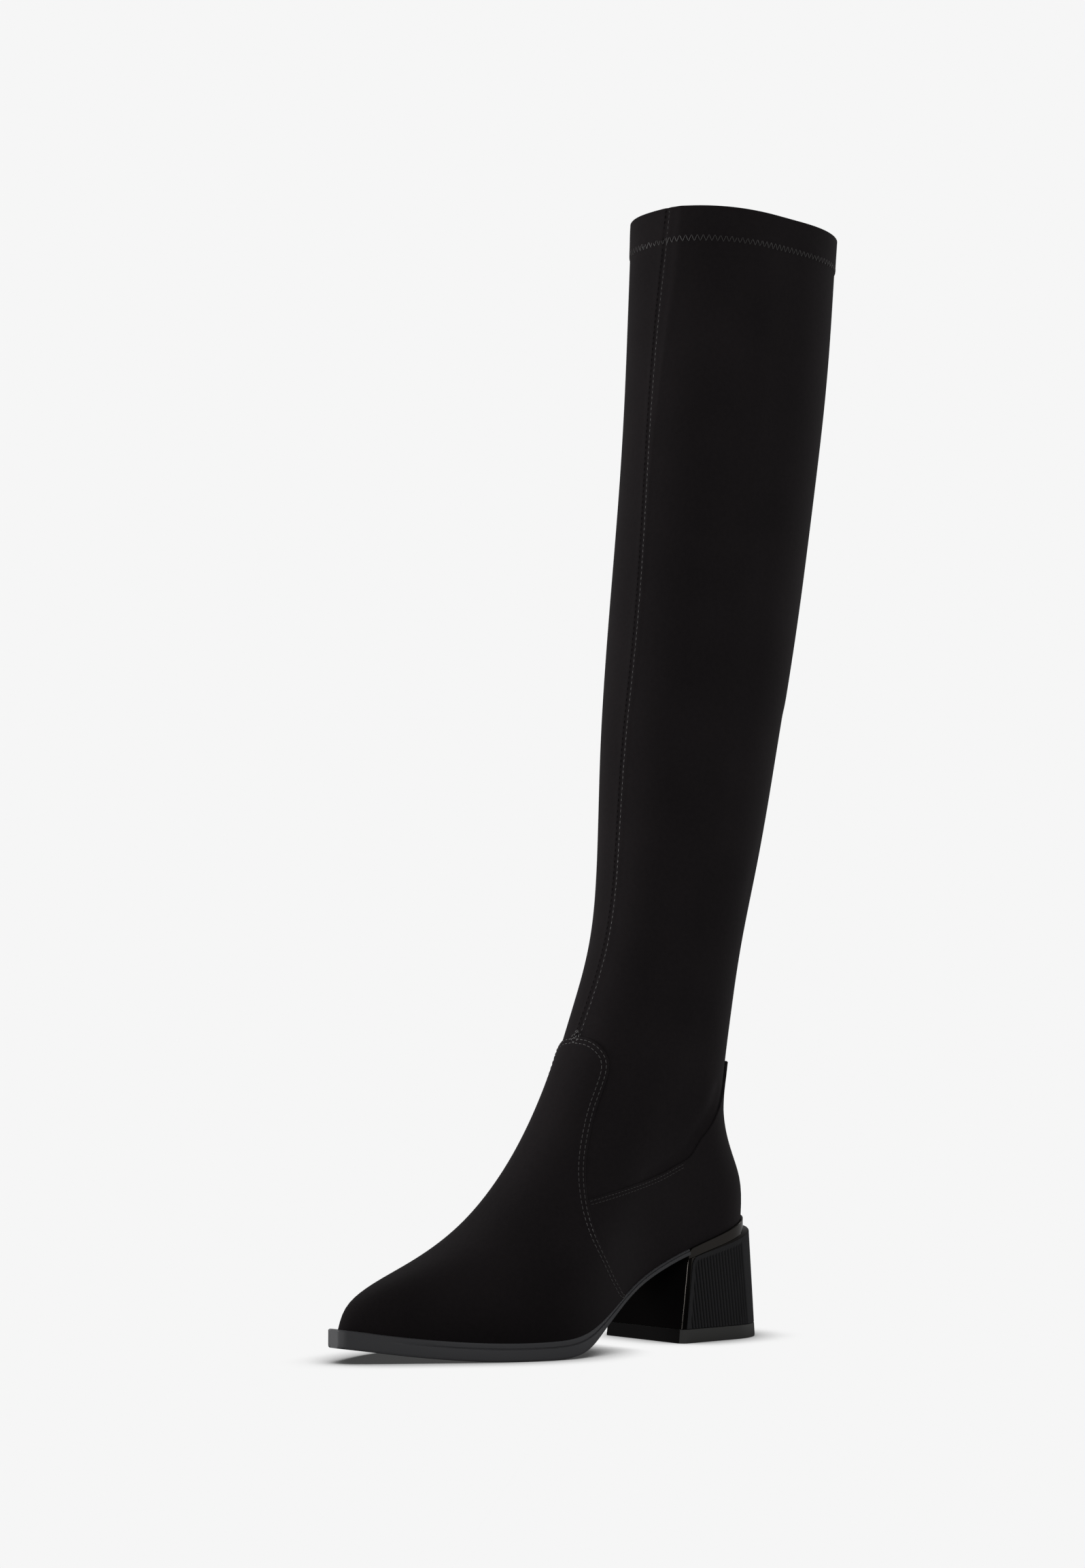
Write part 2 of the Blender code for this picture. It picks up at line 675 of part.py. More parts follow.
def make_zip_pull(finish):
    """The pull tab. Its origin lies on its pin, inside the slider's bridge."""
    half = PULL_THICKNESS / 2
    outline = (
        (-PULL_EYE_HALF - 0.8, half), (PULL_EYE_HALF + 0.8, half),
        (PULL_EYE_HALF + 1.0, -4.0), (PULL_HALF, -8.0), (PULL_HALF, 1.5 - PULL_LENGTH),
        (PULL_HALF - 1.5, -PULL_LENGTH), (1.5 - PULL_HALF, -PULL_LENGTH),
        (-PULL_HALF, 1.5 - PULL_LENGTH), (-PULL_HALF, -8.0), (-PULL_EYE_HALF - 1.0, -4.0),
    )
    eye = (
        (-PULL_EYE_HALF, -half), (PULL_EYE_HALF, -half),
        (PULL_EYE_HALF, -PULL_EYE_LENGTH), (-PULL_EYE_HALF, -PULL_EYE_LENGTH),
    )
    made = []
    for name, shape, reach in (("zip_pull", outline, half), ("zip_pull_eye", eye, 2.0)):
        rings = [[(x, out, up) for x, up in shape] for out in (-reach, reach)]
        count = len(shape)
        faces = ring_faces(2, count, False)
        faces += [tuple(range(count)), tuple(range(count, 2 * count))]
        made.append(in_zip_axes(solid(name, rings, faces, finish)))
    pull, hole = made
    hole.hide_render = True
    hole.display_type = "WIRE"
    cut(pull, hole, "DIFFERENCE")
    return pull


def stand_on_origin():
    """Moves everything so that the middle of the boot's box stands on the origin."""
    bpy.context.view_layer.update()
    low = np.full(3, np.inf)
    high = np.full(3, -np.inf)
    for made in bpy.data.objects:
        if made.hide_render:
            continue
        corners = np.array([made.matrix_world @ Vector(corner) for corner in made.bound_box])
        low = np.minimum(low, corners.min(axis=0))
        high = np.maximum(high, corners.max(axis=0))
    shift = Vector((-(low[0] + high[0]) / 2, -(low[1] + high[1]) / 2, -low[2]))
    for made in bpy.data.objects:
        made.location = made.location + shift


def clear_scene():
    for old in list(bpy.data.objects):
        bpy.data.objects.remove(old, do_unlink=True)


def main():
    clear_scene()
    suede = material("black microsuede", (0.011, 0.010, 0.011), 0.95)
    rubber = material("black rubber", (0.025, 0.025, 0.026), 0.55)
    plated = material("black nickel plating", (0.12, 0.12, 0.125), 0.12, 1.0)
    tape = material("black zip tape", (0.012, 0.012, 0.012), 0.9)
    lining = material("black lining", (0.02, 0.019, 0.019), 0.85)
    make_upper(suede)
    make_vamp(suede)
    make_counter(suede)
    make_collar_hem(suede)
    make_insole(lining)
    make_outsole(rubber)
    make_heel_core(plated)
    make_heel_cover(rubber)
    make_top_lift(rubber)
    zip_strip("zip_tape", ZIP_TAPE_HALF, GAP, GAP + ZIP_TAPE, (ZIP_BOTTOM, ZIP_TOP), 24, tape)
    zip_strip(
        "zip_teeth", ZIP_TEETH_HALF, 2 * GAP + ZIP_TAPE, ZIP_TEETH_TOP,
        (ZIP_BOTTOM, ZIP_TOP - 0.002), 24, tape,
    )
    make_zip_slider(plated)
    make_zip_pull(plated)
    stand_on_origin()


main()
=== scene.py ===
"""The looks of a tall stretch boot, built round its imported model.

Shapes are worked out in millimetres in the shoemaker's axes: x runs forward from the back of
the heel, y to the outer side and z up. placed() turns them into the model's metres.
"""

import math

import bpy
import numpy as np
from mathutils import Matrix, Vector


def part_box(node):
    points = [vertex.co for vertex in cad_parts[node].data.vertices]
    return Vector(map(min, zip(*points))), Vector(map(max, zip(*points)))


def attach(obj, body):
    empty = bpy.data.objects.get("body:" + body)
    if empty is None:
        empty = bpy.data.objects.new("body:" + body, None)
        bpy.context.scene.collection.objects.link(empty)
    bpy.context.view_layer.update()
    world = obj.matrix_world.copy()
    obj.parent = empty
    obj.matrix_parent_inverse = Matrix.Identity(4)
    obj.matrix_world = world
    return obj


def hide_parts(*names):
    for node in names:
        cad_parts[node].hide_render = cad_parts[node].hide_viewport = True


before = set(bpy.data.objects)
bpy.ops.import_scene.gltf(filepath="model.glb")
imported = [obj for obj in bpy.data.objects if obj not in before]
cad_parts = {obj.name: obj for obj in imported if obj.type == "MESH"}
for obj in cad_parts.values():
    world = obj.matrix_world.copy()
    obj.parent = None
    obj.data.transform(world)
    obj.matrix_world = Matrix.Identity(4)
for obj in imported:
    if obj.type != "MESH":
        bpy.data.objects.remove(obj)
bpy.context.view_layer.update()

# ---------------------------------------------------------------------------------------
# Floor, light and camera. A white studio: a paper sheet on the floor runs into a white
# backdrop. Soft boxes stand on the toe's side, behind the heel, above and in front.

MM = 0.001
SOLE_FRONT = 259.0
LIFT_OUTER = 28.9

# The shoemaker's origin, from the tip of the sole and the outer side of the top lift.
ORIGIN = np.array([
    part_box("outsole")[1][0] - SOLE_FRONT * MM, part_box("top_lift")[1][1] - LIFT_OUTER * MM, 0.0,
])


def placed(points):
    """Millimetres in the shoemaker's axes as metres in the model's frame."""
    return np.asarray(points, float) * MM + ORIGIN


def linear(code):
    """An sRGB hex colour as the linear values that nodes take."""
    share = np.array([int(code[i : i + 2], 16) for i in (1, 3, 5)]) / 255
    low = share / 12.92
    high = ((share + 0.055) / 1.055) ** 2.4
    return (*np.where(share <= 0.04045, low, high), 1.0)


def unit(vectors):
    """Vectors divided by their own lengths."""
    return vectors / np.linalg.norm(vectors, axis=-1, keepdims=True)


def node(tree, kind, *values, settings=(), **links):
    """Adds a shader node. Settings are its properties. Values are its first sockets' and
    links are sockets by name, or by number, with _ for a space: each is given a value or
    another node's socket."""
    made = tree.nodes.new("ShaderNode" + kind)
    for name, value in dict(settings).items():
        setattr(made, name, value)
    sockets = dict(enumerate(values))
    for name, value in links.items():
        sockets[int(name[1:]) if name[1:].isdigit() else name.replace("_", " ")] = value
    for key, value in sockets.items():
        socket = made.inputs[key]
        if isinstance(value, bpy.types.NodeSocket):
            tree.links.new(value, socket)
        else:
            socket.default_value = value
    return made


def stood(name, data, axes, at):
    """A new object in the scene from its axes (right, up and back) and its place in metres."""
    made = bpy.data.objects.new(name, data)
    turn = np.eye(4)
    turn[:3] = np.stack([*axes, at], axis=1)
    made.matrix_world = Matrix(turn.tolist())
    bpy.context.scene.collection.objects.link(made)
    return made


VIEW_AZIMUTH = math.radians(140.0)
VIEW_DISTANCE = 1590.0
VIEW_HEIGHT = 165.0
VIEW_PITCH = math.radians(4.31)
VIEW_CENTRE = np.array([137.0, 0.0, 0.0])
LENS, SENSOR_WIDTH = 71.8, 36.0

to_camera = np.array([math.sin(VIEW_AZIMUTH), -math.cos(VIEW_AZIMUTH), 0.0])
view_right = np.array([-to_camera[1], to_camera[0], 0.0])
forward = -to_camera * math.cos(VIEW_PITCH) + np.array([0, 0, math.sin(VIEW_PITCH)])
view_up = np.cross(view_right, forward)
eye = VIEW_CENTRE + to_camera * VIEW_DISTANCE + np.array([0, 0, VIEW_HEIGHT])
camera = stood(
    "camera", bpy.data.cameras.new("camera"), (view_right, view_up, -forward), placed(eye)
)
camera.data.lens = LENS
camera.data.sensor_width = SENSOR_WIDTH
bpy.context.scene.camera = camera
bpy.context.scene.view_settings.view_transform = "Standard"

# Ranges of what the backdrop gives: from one direction to another, from one level to
# another. It lights less from above, and is mirrored less on the outer side.
FILL_RANGE = (0.1, 0.8, 0.55, 0.22)
MIRROR_RANGE = (0.6, 0.9, 0.12, 0.02)
WHITE = linear("#F6F6F6")

world = bpy.data.worlds.new("white studio")
bpy.context.scene.world = world
world.use_nodes = True
tree = world.node_tree
tree.nodes.clear()
path = node(tree, "LightPath")
up = node(tree, "SeparateXYZ", node(tree, "TexCoord").outputs["Object"])
fill = node(tree, "MapRange", up.outputs["Z"], *FILL_RANGE)
mirrored = node(tree, "MapRange", up.outputs["Y"], *MIRROR_RANGE)
level = node(
    tree, "Mix", path.outputs["Is Glossy Ray"], _2=fill.outputs[0], _3=mirrored.outputs[0]
)
level = node(tree, "Mix", path.outputs["Is Camera Ray"], _2=level.outputs[0], _3=1.0)
backdrop = node(tree, "Background", Color=WHITE, Strength=level.outputs[0])
node(tree, "OutputWorld", Surface=backdrop.outputs[0])

FLOOR_HALF = 6.0
floor_mesh = bpy.data.meshes.new("floor")
corners = FLOOR_HALF * np.array([(-1, -1, 0), (1, -1, 0), (1, 1, 0), (-1, 1, 0)])
floor_mesh.from_pydata(corners.tolist(), [], [(0, 1, 2, 3)])
floor = bpy.data.objects.new("floor", floor_mesh)
bpy.context.scene.collection.objects.link(floor)

# Paper sheet that glows as white as the backdrop. Its glow is darkened where something stands
# on it or just above it: a painted shadow of contact. What is glossy mirrors a sheet whose glow
# is painted dark round the boot, as shade, and light behind its heel.
CONTACT_REACH, CONTACT_RANGE = 0.028, (0.35, 0.93, 0.06, 1.0)
# Where along the boot, in metres, the painted shadow ends and the two levels change, and to what.
CLEAR_RANGE = (-0.10, -0.145, 0.0, 1.0)
SHEET_MIRRORED = (-0.32, -0.44, 0.02, 0.30)
SHEET_BOUNCED = (0.0, 0.3, 0.55, 0.35)

paper = bpy.data.materials.new("white paper sheet")
paper.use_nodes = True
tree = paper.node_tree
tree.nodes.clear()
contact = node(
    tree, "AmbientOcclusion", settings={"samples": 12}, Distance=CONTACT_REACH, Color=WHITE
)
shade = node(tree, "MapRange", contact.outputs["AO"], *CONTACT_RANGE)
spot = node(tree, "SeparateXYZ", node(tree, "TexCoord").outputs["Object"]).outputs["X"]
clear = node(tree, "MapRange", spot, *CLEAR_RANGE)
shade = node(
    tree, "Math", shade.outputs[0], clear.outputs[0], settings={"operation": "MAXIMUM"}
)
mirrored = node(tree, "MapRange", spot, *SHEET_MIRRORED)
bounced = node(tree, "MapRange", spot, *SHEET_BOUNCED)
path = node(tree, "LightPath")
level = node(
    tree, "Mix", path.outputs["Is Glossy Ray"], _2=bounced.outputs[0], _3=mirrored.outputs[0]
)
level = node(tree, "Mix", path.outputs["Is Camera Ray"], _2=level.outputs[0], _3=1.0)
strength = node(
    tree, "Math", shade.outputs[0], level.outputs[0], settings={"operation": "MULTIPLY"}
)
glow = node(tree, "Emission", Color=WHITE, Strength=strength.outputs[0])
node(tree, "OutputMaterial", Surface=glow.outputs[0])
floor_mesh.materials.append(paper)


def soft_box(name, across, towards, height, size, power, aim_height):
    """An area light placed by metres to the right of the view, towards the camera and up."""
    light = bpy.data.lights.new(name, "AREA")
    light.shape = "RECTANGLE"
    light.size, light.size_y = size
    light.energy = power
    at = view_right * across + to_camera * towards + np.array([0, 0, height])
    back = unit(at - np.array([0.0, 0.0, aim_height]))
    side = unit(np.cross([0, 0, 1], back))
    return stood(name, light, (side, np.cross(back, side), back), at)


soft_box("toe side soft box", -1.9, -0.35, 0.6, (1.2, 1.2), 33.5, 0.3)
heel_box = soft_box("heel side soft box", 1.6, -1.2, 0.5, (0.5, 1.2), 20.0, 0.3)
soft_box("heel side glint", 1.6, -1.2, 0.6, (0.5, 1.2), 1.6, 0.3)
soft_box("top soft box", 0.0, 0.6, 2.2, (1.6, 1.6), 3.0, 0.2)
front_box = soft_box("front soft box", 0.1, 1.9, 1.0, (0.8, 0.8), 10.0, 0.3)
front_strip = soft_box("front strip light", -1.29, 1.53, 0.5, (0.6, 1.2), 14.0, 0.3)
# Two only light the boot and are not mirrored in it, and one is only mirrored.
heel_box.visible_glossy = front_box.visible_glossy = False
front_strip.visible_diffuse = False

# ---------------------------------------------------------------------------------------
# Upper: a tall sock of stretch microsuede with a knitted lining bonded to it, pulled over
# the last and cemented under the insole. Cut from two halves, joined down the front.

SOLE_LINE = np.array([
    # x, height of the sole's top, thickness
    (-6.0, 62.8, 3.0), (11.3, 59.0, 3.0), (35.0, 53.4, 3.0), (61.4, 47.6, 3.0),
    (80.0, 41.6, 3.0), (100.0, 33.4, 3.0), (118.0, 24.4, 3.4), (132.0, 17.4, 5.0),
    (145.0, 12.2, 8.0), (158.0, 9.6, 9.0), (170.0, 9.0, 9.1), (190.0, 9.0, 9.1),
    (210.0, 10.05, 9.0), (232.0, 12.5, 9.0), (254.0, 15.79, 9.0), (259.0, 16.49, 9.0),
])
SOLE_PLAN = np.array([
    # x, y of the outer edge, y of the inner edge
    (-6.0, 27.0, -29.0), (30.0, 28.0, -29.5), (61.4, 28.5, -28.5), (80.0, 29.5, -26.5),
    (100.0, 32.5, -25.0), (120.0, 39.0, -27.0), (140.0, 45.5, -32.0), (155.0, 48.0, -35.5),
    (170.0, 46.5, -38.0), (185.0, 41.5, -39.5), (200.0, 33.0, -39.0), (220.0, 20.0, -35.5),
    (240.0, 7.0, -27.0), (259.0, -5.0, -17.0),
])
SECTION_NAMES = (
    "front_x", "front_z", "back_x", "back_z", "half", "plan",
    "front_round", "back_round", "middle_y", "front_y",
)
SECTIONS = np.array([
    (253.0, 15.79, 11.3, 59.0, 28.4, 1.00, 10.0, 27.0, -1.0, -11.0),
    (248.8, 24.7, 10.7, 69.0, 29.7, 0.95, 16.0, 27.0, -1.0, -11.0),
    (236.2, 33.6, 12.1, 81.5, 30.7, 0.85, 23.0, 26.0, -1.0, -10.0),
    (211.5, 44.0, 17.8, 95.5, 31.7, 0.70, 32.0, 26.0, -1.0, -8.0),
    (180.2, 61.6, 23.9, 109.5, 32.2, 0.50, 45.0, 27.0, -0.5, -5.0),
    (149.1, 93.3, 26.3, 123.5, 32.4, 0.28, 52.0, 29.0, 0.0, -2.5),
    (125.2, 131.6, 24.7, 140.0, 32.7, 0.10, 50.0, 32.0, 0.0, -1.0),
    (109.0, 167.0, 20.0, 168.0, 33.2, 0.00, 45.0, 36.0, 0.5, 0.0),
    (95.8, 203.0, 12.8, 203.0, 34.2, 0.00, 42.0, 40.0, 1.0, 1.0),
    (89.8, 250.0, 1.5, 250.0, 35.8, 0.00, 43.0, 43.0, 2.5, 2.5),
    (88.5, 310.0, -10.5, 310.0, 38.2, 0.00, 46.0, 46.0, 4.5, 4.5),
    (81.6, 400.0, -25.7, 400.0, 40.8, 0.00, 49.0, 49.0, 7.8, 7.8),
    (75.5, 500.0, -39.2, 500.0, 42.0, 0.00, 51.0, 51.0, 11.2, 11.2),
    (73.5, 589.0, -46.5, 585.0, 42.0, 0.00, 52.0, 52.0, 14.0, 14.0),
])
SECTION_POWER = 2.3
SOLE_LEDGE = 2.4
WALL = 1.6
COLLAR_Z = 589.0
EDGE_STEPS = 1400
CHUNK = 5000
PLAN_PASSES, HEIGHT_PASSES = 16, 8
SKIN_ROWS, SKIN_COLUMNS = 640, 720
T_HALVINGS, ANGLE_HALVINGS = 36, 26


def spline(knots, values, at):
    """The natural cubic curve through the values: its second derivatives solve the usual
    three-term system, and each span is the cubic that they and its two ends give."""
    count = len(knots)
    step = np.diff(knots)
    slope = np.diff(values) / step
    matrix = np.eye(count)
    right = np.zeros(count)
    inner = np.arange(1, count - 1)
    matrix[inner, inner - 1] = step[:-1]
    matrix[inner, inner] = 2 * (step[:-1] + step[1:])
    matrix[inner, inner + 1] = step[1:]
    right[inner] = 6 * np.diff(slope)
    bend = np.linalg.solve(matrix, right)
    at = np.clip(np.asarray(at, float), knots[0], knots[-1])
    cell = np.clip(np.searchsorted(knots, at, side="right") - 1, 0, count - 2)
    width = step[cell]
    after = at - knots[cell]
    before = width - after
    curved = (bend[cell] * before**3 + bend[cell + 1] * after**3) / (6 * width)
    left = (values[cell] / width - bend[cell] * width / 6) * before
    return curved + left + (values[cell + 1] / width - bend[cell + 1] * width / 6) * after


def column_at(table, column, at):
    """A table's column on the smooth curve through its rows, found by its first column."""
    return spline(table[:, 0], table[:, column], at)


def sole_top(x):
    """The height of the sole's top at x."""
    return column_at(SOLE_LINE, 1, x)


# Rings are spread by how far the front and the back line run between the sections.
way = sum(np.hypot(*np.diff(SECTIONS[:, i : i + 2], axis=0).T) for i in (0, 2))
SECTION_T = np.concatenate([[0.0], np.cumsum(way)]) / way.sum()


def section(name, t):
    """One of the sections' sizes at t, from the sole line (0) to the collar (1)."""
    return spline(SECTION_T, SECTIONS[:, SECTION_NAMES.index(name)], t)


def nearest(points, line):
    """Which of a line's points is the nearest to each point, and how far away it is."""
    near, square = [], []
    for part in np.array_split(points, max(1, len(points) // CHUNK)):
        apart = (line**2).sum(1) - 2 * part @ line.T
        near.append(apart.argmin(1))
        square.append(apart.min(1) + (part**2).sum(1))
    return np.concatenate(near), np.sqrt(np.maximum(np.concatenate(square), 0.0))


def edge_share(x, z, line):
    """The distance in the side view from the front or back line, in roundings of it: the
    nearest of many points of the line is found, then the nearest place beside it."""
    t = np.linspace(0.0, 1.0, EDGE_STEPS)
    edge = np.stack([section(line + "_x", t), section(line + "_z", t)], axis=1)
    flat = np.stack([x.ravel(), z.ravel()], axis=1)
    near = nearest(flat, edge)[0]
    best = np.full(len(flat), np.inf)
    for start in (near - 1, near):
        start = np.clip(start, 0, EDGE_STEPS - 2)
        step = edge[start + 1] - edge[start]
        share = ((flat - edge[start]) * step).sum(1) / (step**2).sum(1)
        place = edge[start] + np.clip(share, 0, 1)[:, None] * step
        best = np.minimum(best, np.hypot(*(flat - place).T))
    return (best / section(line + "_round", t)[near]).reshape(x.shape)


def rounded(share):
    """0 on a rounded edge, 1 where the side is flat: a superellipse between."""
    rest = 1.0 - np.clip(share, 0.0, 1.0)
    return (1.0 - rest**SECTION_POWER) ** (1.0 / SECTION_POWER)


def back_share(t, x):
    """How far back x lies between the front and the back line of ring t, as a share."""
    front_x, back_x = section("front_x", t), section("back_x", t)
    return np.clip((front_x - x) / (front_x - back_x), 0.0, 1.0)


def side_point(t, share):
    """x and z of the ring t at a share of its way from the front to the back line."""
    front_x, back_x = section("front_x", t), section("back_x", t)
    plan = section("plan", t)
    x = front_x + (back_x - front_x) * share
    rise_front = section("front_z", t) - plan * sole_top(front_x)
    rise_back = section("back_z", t) - plan * sole_top(back_x)
    return x, rise_front + (rise_back - rise_front) * share + plan * sole_top(x)


def eased(values, passes, axis, wraps):
    """Each pass takes every value halfway to the mean of its neighbours. Ends stay."""
    for _ in range(passes):
        mean = (np.roll(values, 1, axis) + np.roll(values, -1, axis)) / 2
        soft = (values + mean) / 2
        if not wraps:
            soft[[0, -1]] = values[[0, -1]]
        values = soft
    return values


def skin_table():
    """The boot's outer surface as a fine grid of rings, and its outward unit normals. A
    ring's half width is a mix of the sole's plan and the leg's, rounded off towards the
    front and the back line, and the rounding is eased where two edges meet."""
    t, angle = np.meshgrid(
        np.linspace(0, 1, SKIN_ROWS), np.linspace(0, math.pi, SKIN_COLUMNS // 2 + 1),
        indexing="ij",
    )
    x, z = side_point(t, (1.0 - np.cos(angle)) / 2.0)
    plan = section("plan", t)
    outer, inner = column_at(SOLE_PLAN, 1, x), column_at(SOLE_PLAN, 2, x)
    half = plan * ((outer - inner) / 2 - SOLE_LEDGE) + (1 - plan) * section("half", t)
    middle = plan * (outer + inner) / 2 + (1 - plan) * section("middle_y", t)
    front = rounded(edge_share(x, z, "front"))
    back = rounded(edge_share(x, z, "back"))
    line_y = middle * front + section("front_y", t) * (1 - front)
    reach = half * front * back
    left, right = (np.stack([x, line_y + side * reach, z], axis=-1) for side in (1, -1))
    ring = np.concatenate([left, right[:, -2:0:-1]], axis=1)
    ring[..., 1] = eased(eased(ring[..., 1], PLAN_PASSES, 1, True), HEIGHT_PASSES, 0, False)
    around = np.roll(ring, -1, 1) - np.roll(ring, 1, 1)
    normal = np.cross(around, np.gradient(ring, axis=0))
    normal[0, :, 2] = 0.0
    return ring, unit(normal)


def cubic(f):
    """What each of four neighbours counts for at a share f between the middle two."""
    return (
        f * (-0.5 + f * (1.0 - 0.5 * f)), 1.0 + f * f * (1.5 * f - 2.5),
        f * (0.5 + f * (2.0 - 1.5 * f)), f * f * (0.5 * f - 0.5),
    )


def looked_up(table, t, angle):
    """The table between its grid's points, along cubic curves either way. t runs from the
    sole line (0) to the collar (1), angle from the front line (0) over the outer side to
    the back line (pi) and on."""
    t, angle = np.broadcast_arrays(np.asarray(t, float), np.asarray(angle, float))
    row = np.clip(t, 0.0, 1.0) * (SKIN_ROWS - 1)
    column = angle / (2 * math.pi) * SKIN_COLUMNS
    first_row, first_column = np.floor(row).astype(int), np.floor(column).astype(int)
    found = 0.0
    for row_step, row_share in zip(range(-1, 3), cubic(row - first_row)):
        at_row = np.clip(first_row + row_step, 0, SKIN_ROWS - 1)
        for column_step, column_share in zip(range(-1, 3), cubic(column - first_column)):
            at_column = (first_column + column_step) % SKIN_COLUMNS
            found = found + table[at_row, at_column] * (row_share * column_share)[..., None]
    return found


SKIN_POINTS, SKIN_NORMALS = skin_table()


def skin(t, angle):
    """Points of the outer surface."""
    return looked_up(SKIN_POINTS, t, angle)


def skin_normal(t, angle):
    """The surface's outward unit normals."""
    return unit(looked_up(SKIN_NORMALS, t, angle))


def lifted(t, angle, lift):
    """The surface moved along its normals by lift, its lowest ring kept on the sole."""
    t, angle = np.broadcast_arrays(np.asarray(t, float), np.asarray(angle, float))
    lift = np.broadcast_to(lift, t.shape)
    point = skin(t, angle) + lift[..., None] * skin_normal(t, angle)
    point[..., 2] = np.where(t <= 0.0, sole_top(point[..., 0]), point[..., 2])
    return point


def on_skin(x, z):
    """t and angle of the outer side's point at x, z of the side view, by halving t's span."""
    x, z = np.asarray(x, float), np.asarray(z, float)
    low, high = np.zeros(x.shape), np.ones(x.shape)
    for _ in range(T_HALVINGS):
        t = (low + high) / 2
        share = back_share(t, x)
        above = side_point(t, share)[1] > z
        low, high = np.where(above, low, t), np.where(above, t, high)
    return t, np.arccos(1.0 - 2.0 * share)


def grid_faces(rows, columns, wrap_rows, wrap_columns):
    """Quads between a grid's neighbours, joined up round either way where asked."""
    row = np.arange(rows if wrap_rows else rows - 1)[:, None]
    column = np.arange(columns if wrap_columns else columns - 1)[None, :]
    next_row, next_column = (row + 1) % rows, (column + 1) % columns
    corner = lambda r, c: np.broadcast_to(r * columns + c, (row.size, column.size))
    quads = [corner(row, column), corner(row, next_column)]
    quads += [corner(next_row, next_column), corner(next_row, column)]
    return np.stack(quads, axis=-1).reshape(-1, 4)


def piece(name, points, quads, materials, caps=(), kinds=None, sharp=40.0):
    """A mesh object from points in millimetres, quads and end caps, turned outside out."""
    points = np.reshape(points, (-1, 3))
    fan = np.concatenate([quads[:, [0, 1, 2]], quads[:, [0, 2, 3]]])
    a, b, c = (points[fan[:, i]] for i in range(3))
    if np.einsum("ij,ij->i", a - points.mean(0), np.cross(b - a, c - a)).sum() < 0:
        quads = quads[:, ::-1]
    mesh = bpy.data.meshes.new(name)
    loops = np.concatenate([quads.ravel(), *[np.asarray(cap) for cap in caps]]).astype(int)
    sizes = np.concatenate([np.full(len(quads), 4), [len(cap) for cap in caps]]).astype(int)
    mesh.vertices.add(len(points))
    mesh.vertices.foreach_set("co", placed(points).ravel())
    mesh.loops.add(len(loops))
    mesh.loops.foreach_set("vertex_index", loops)
    mesh.polygons.add(len(sizes))
    mesh.polygons.foreach_set("loop_start", np.concatenate([[0], np.cumsum(sizes)[:-1]]))
    if kinds is not None:
        mesh.polygons.foreach_set("material_index", np.asarray(kinds, np.int32))
    mesh.update(calc_edges=True)
    mesh.validate()
    mesh.shade_smooth()
    mesh.set_sharp_from_angle(angle=math.radians(sharp))
    for finish in materials:
        mesh.materials.append(finish)
    made = bpy.data.objects.new(name, mesh)
    bpy.context.scene.collection.objects.link(made)
    return made


def turned_over(outside, inside, rows, rise=0.0):
    """Rings up a wall's outside, over its rim as a half round, and down its inside."""
    turn = np.linspace(0, math.pi, rows + 2)[1:-1, None, None]
    rim = (outside[-1] + inside[0]) / 2 + np.cos(turn) * (outside[-1] - inside[0]) / 2
    rim[..., 2] += rise * np.sin(turn[..., 0])
    return np.concatenate([outside, rim, inside])


def principled(name, **links):
    """A new material with constants on its Principled shader's sockets."""
    made = bpy.data.materials.new(name)
    made.use_nodes = True
    shader = made.node_tree.nodes["Principled BSDF"]
    for key, value in links.items():
        shader.inputs[key.replace("_", " ")].default_value = value
    return made


def feed(material, **links):
    """Feeds sockets of a material's Principled shader from other nodes' sockets."""
    tree = material.node_tree
    for key, socket in links.items():
        tree.links.new(socket, tree.nodes["Principled BSDF"].inputs[key.replace("_", " ")])


# Microsuede: polyester microfibre brushed to a short nap. It scatters light with no gloss,
# brightens towards grazing light, and shows faint clouds where the nap lies over. Its colour is
# painted darker towards the floor over the lowest 55 mm: painted shade. Sizes are in metres.
CLOUD_SIZE, FLECK_SIZE, NAP_SIZE = 0.045, 0.0022, 0.45 * MM
CLOUD_RANGE = (0.0, 1.0, 0.25, 0.75)
NAP_SHARE, TONE_RANGE = 0.30, (0.5, 1.1, 0.0, 1.0)
# Heights in metres over which the painted shade near the floor fades, and the share of colour
# kept.
LOW_SHADE_RANGE = (0.010, 0.055, 0.62, 1.0)

suede = principled(
    "brushed polyester microsuede", Roughness=1.0, Specular_IOR_Level=0.0,
    Sheen_Weight=0.035, Sheen_Roughness=0.45,
)
tree = suede.node_tree
place = node(tree, "TexCoord").outputs["Object"]
clouds = node(tree, "TexNoise", Vector=place, Scale=1 / CLOUD_SIZE, Detail=1.0)
tone = node(tree, "MapRange", clouds.outputs["Fac"], *CLOUD_RANGE)
nap = node(tree, "TexNoise", Vector=place, Scale=1 / NAP_SIZE, Detail=2.0)
flecks = node(tree, "TexNoise", Vector=place, Scale=1 / FLECK_SIZE, Detail=2.0)
for grain in (nap, flecks):
    tone = node(
        tree, "Math", grain.outputs["Fac"], NAP_SHARE, tone.outputs[0],
        settings={"operation": "MULTIPLY_ADD"},
    )
tone = node(tree, "MapRange", tone.outputs[0], *TONE_RANGE)
colour = node(
    tree, "Mix", tone.outputs[0], settings={"data_type": "RGBA"},
    _6=linear("#171516"), _7=linear("#211E1F"),
)
# Painted shade: the colour is scaled down towards the floor, by height.
height = node(tree, "SeparateXYZ", place).outputs["Z"]
low_shade = node(tree, "MapRange", height, *LOW_SHADE_RANGE)
colour = node(
    tree, "VectorMath", colour.outputs[2], settings={"operation": "SCALE"},
    _3=low_shade.outputs[0],
)
bump = node(tree, "Bump", Height=nap.outputs["Fac"], Strength=0.25, Distance=0.00012)
feed(suede, Base_Color=colour.outputs[0], Normal=bump.outputs[0])

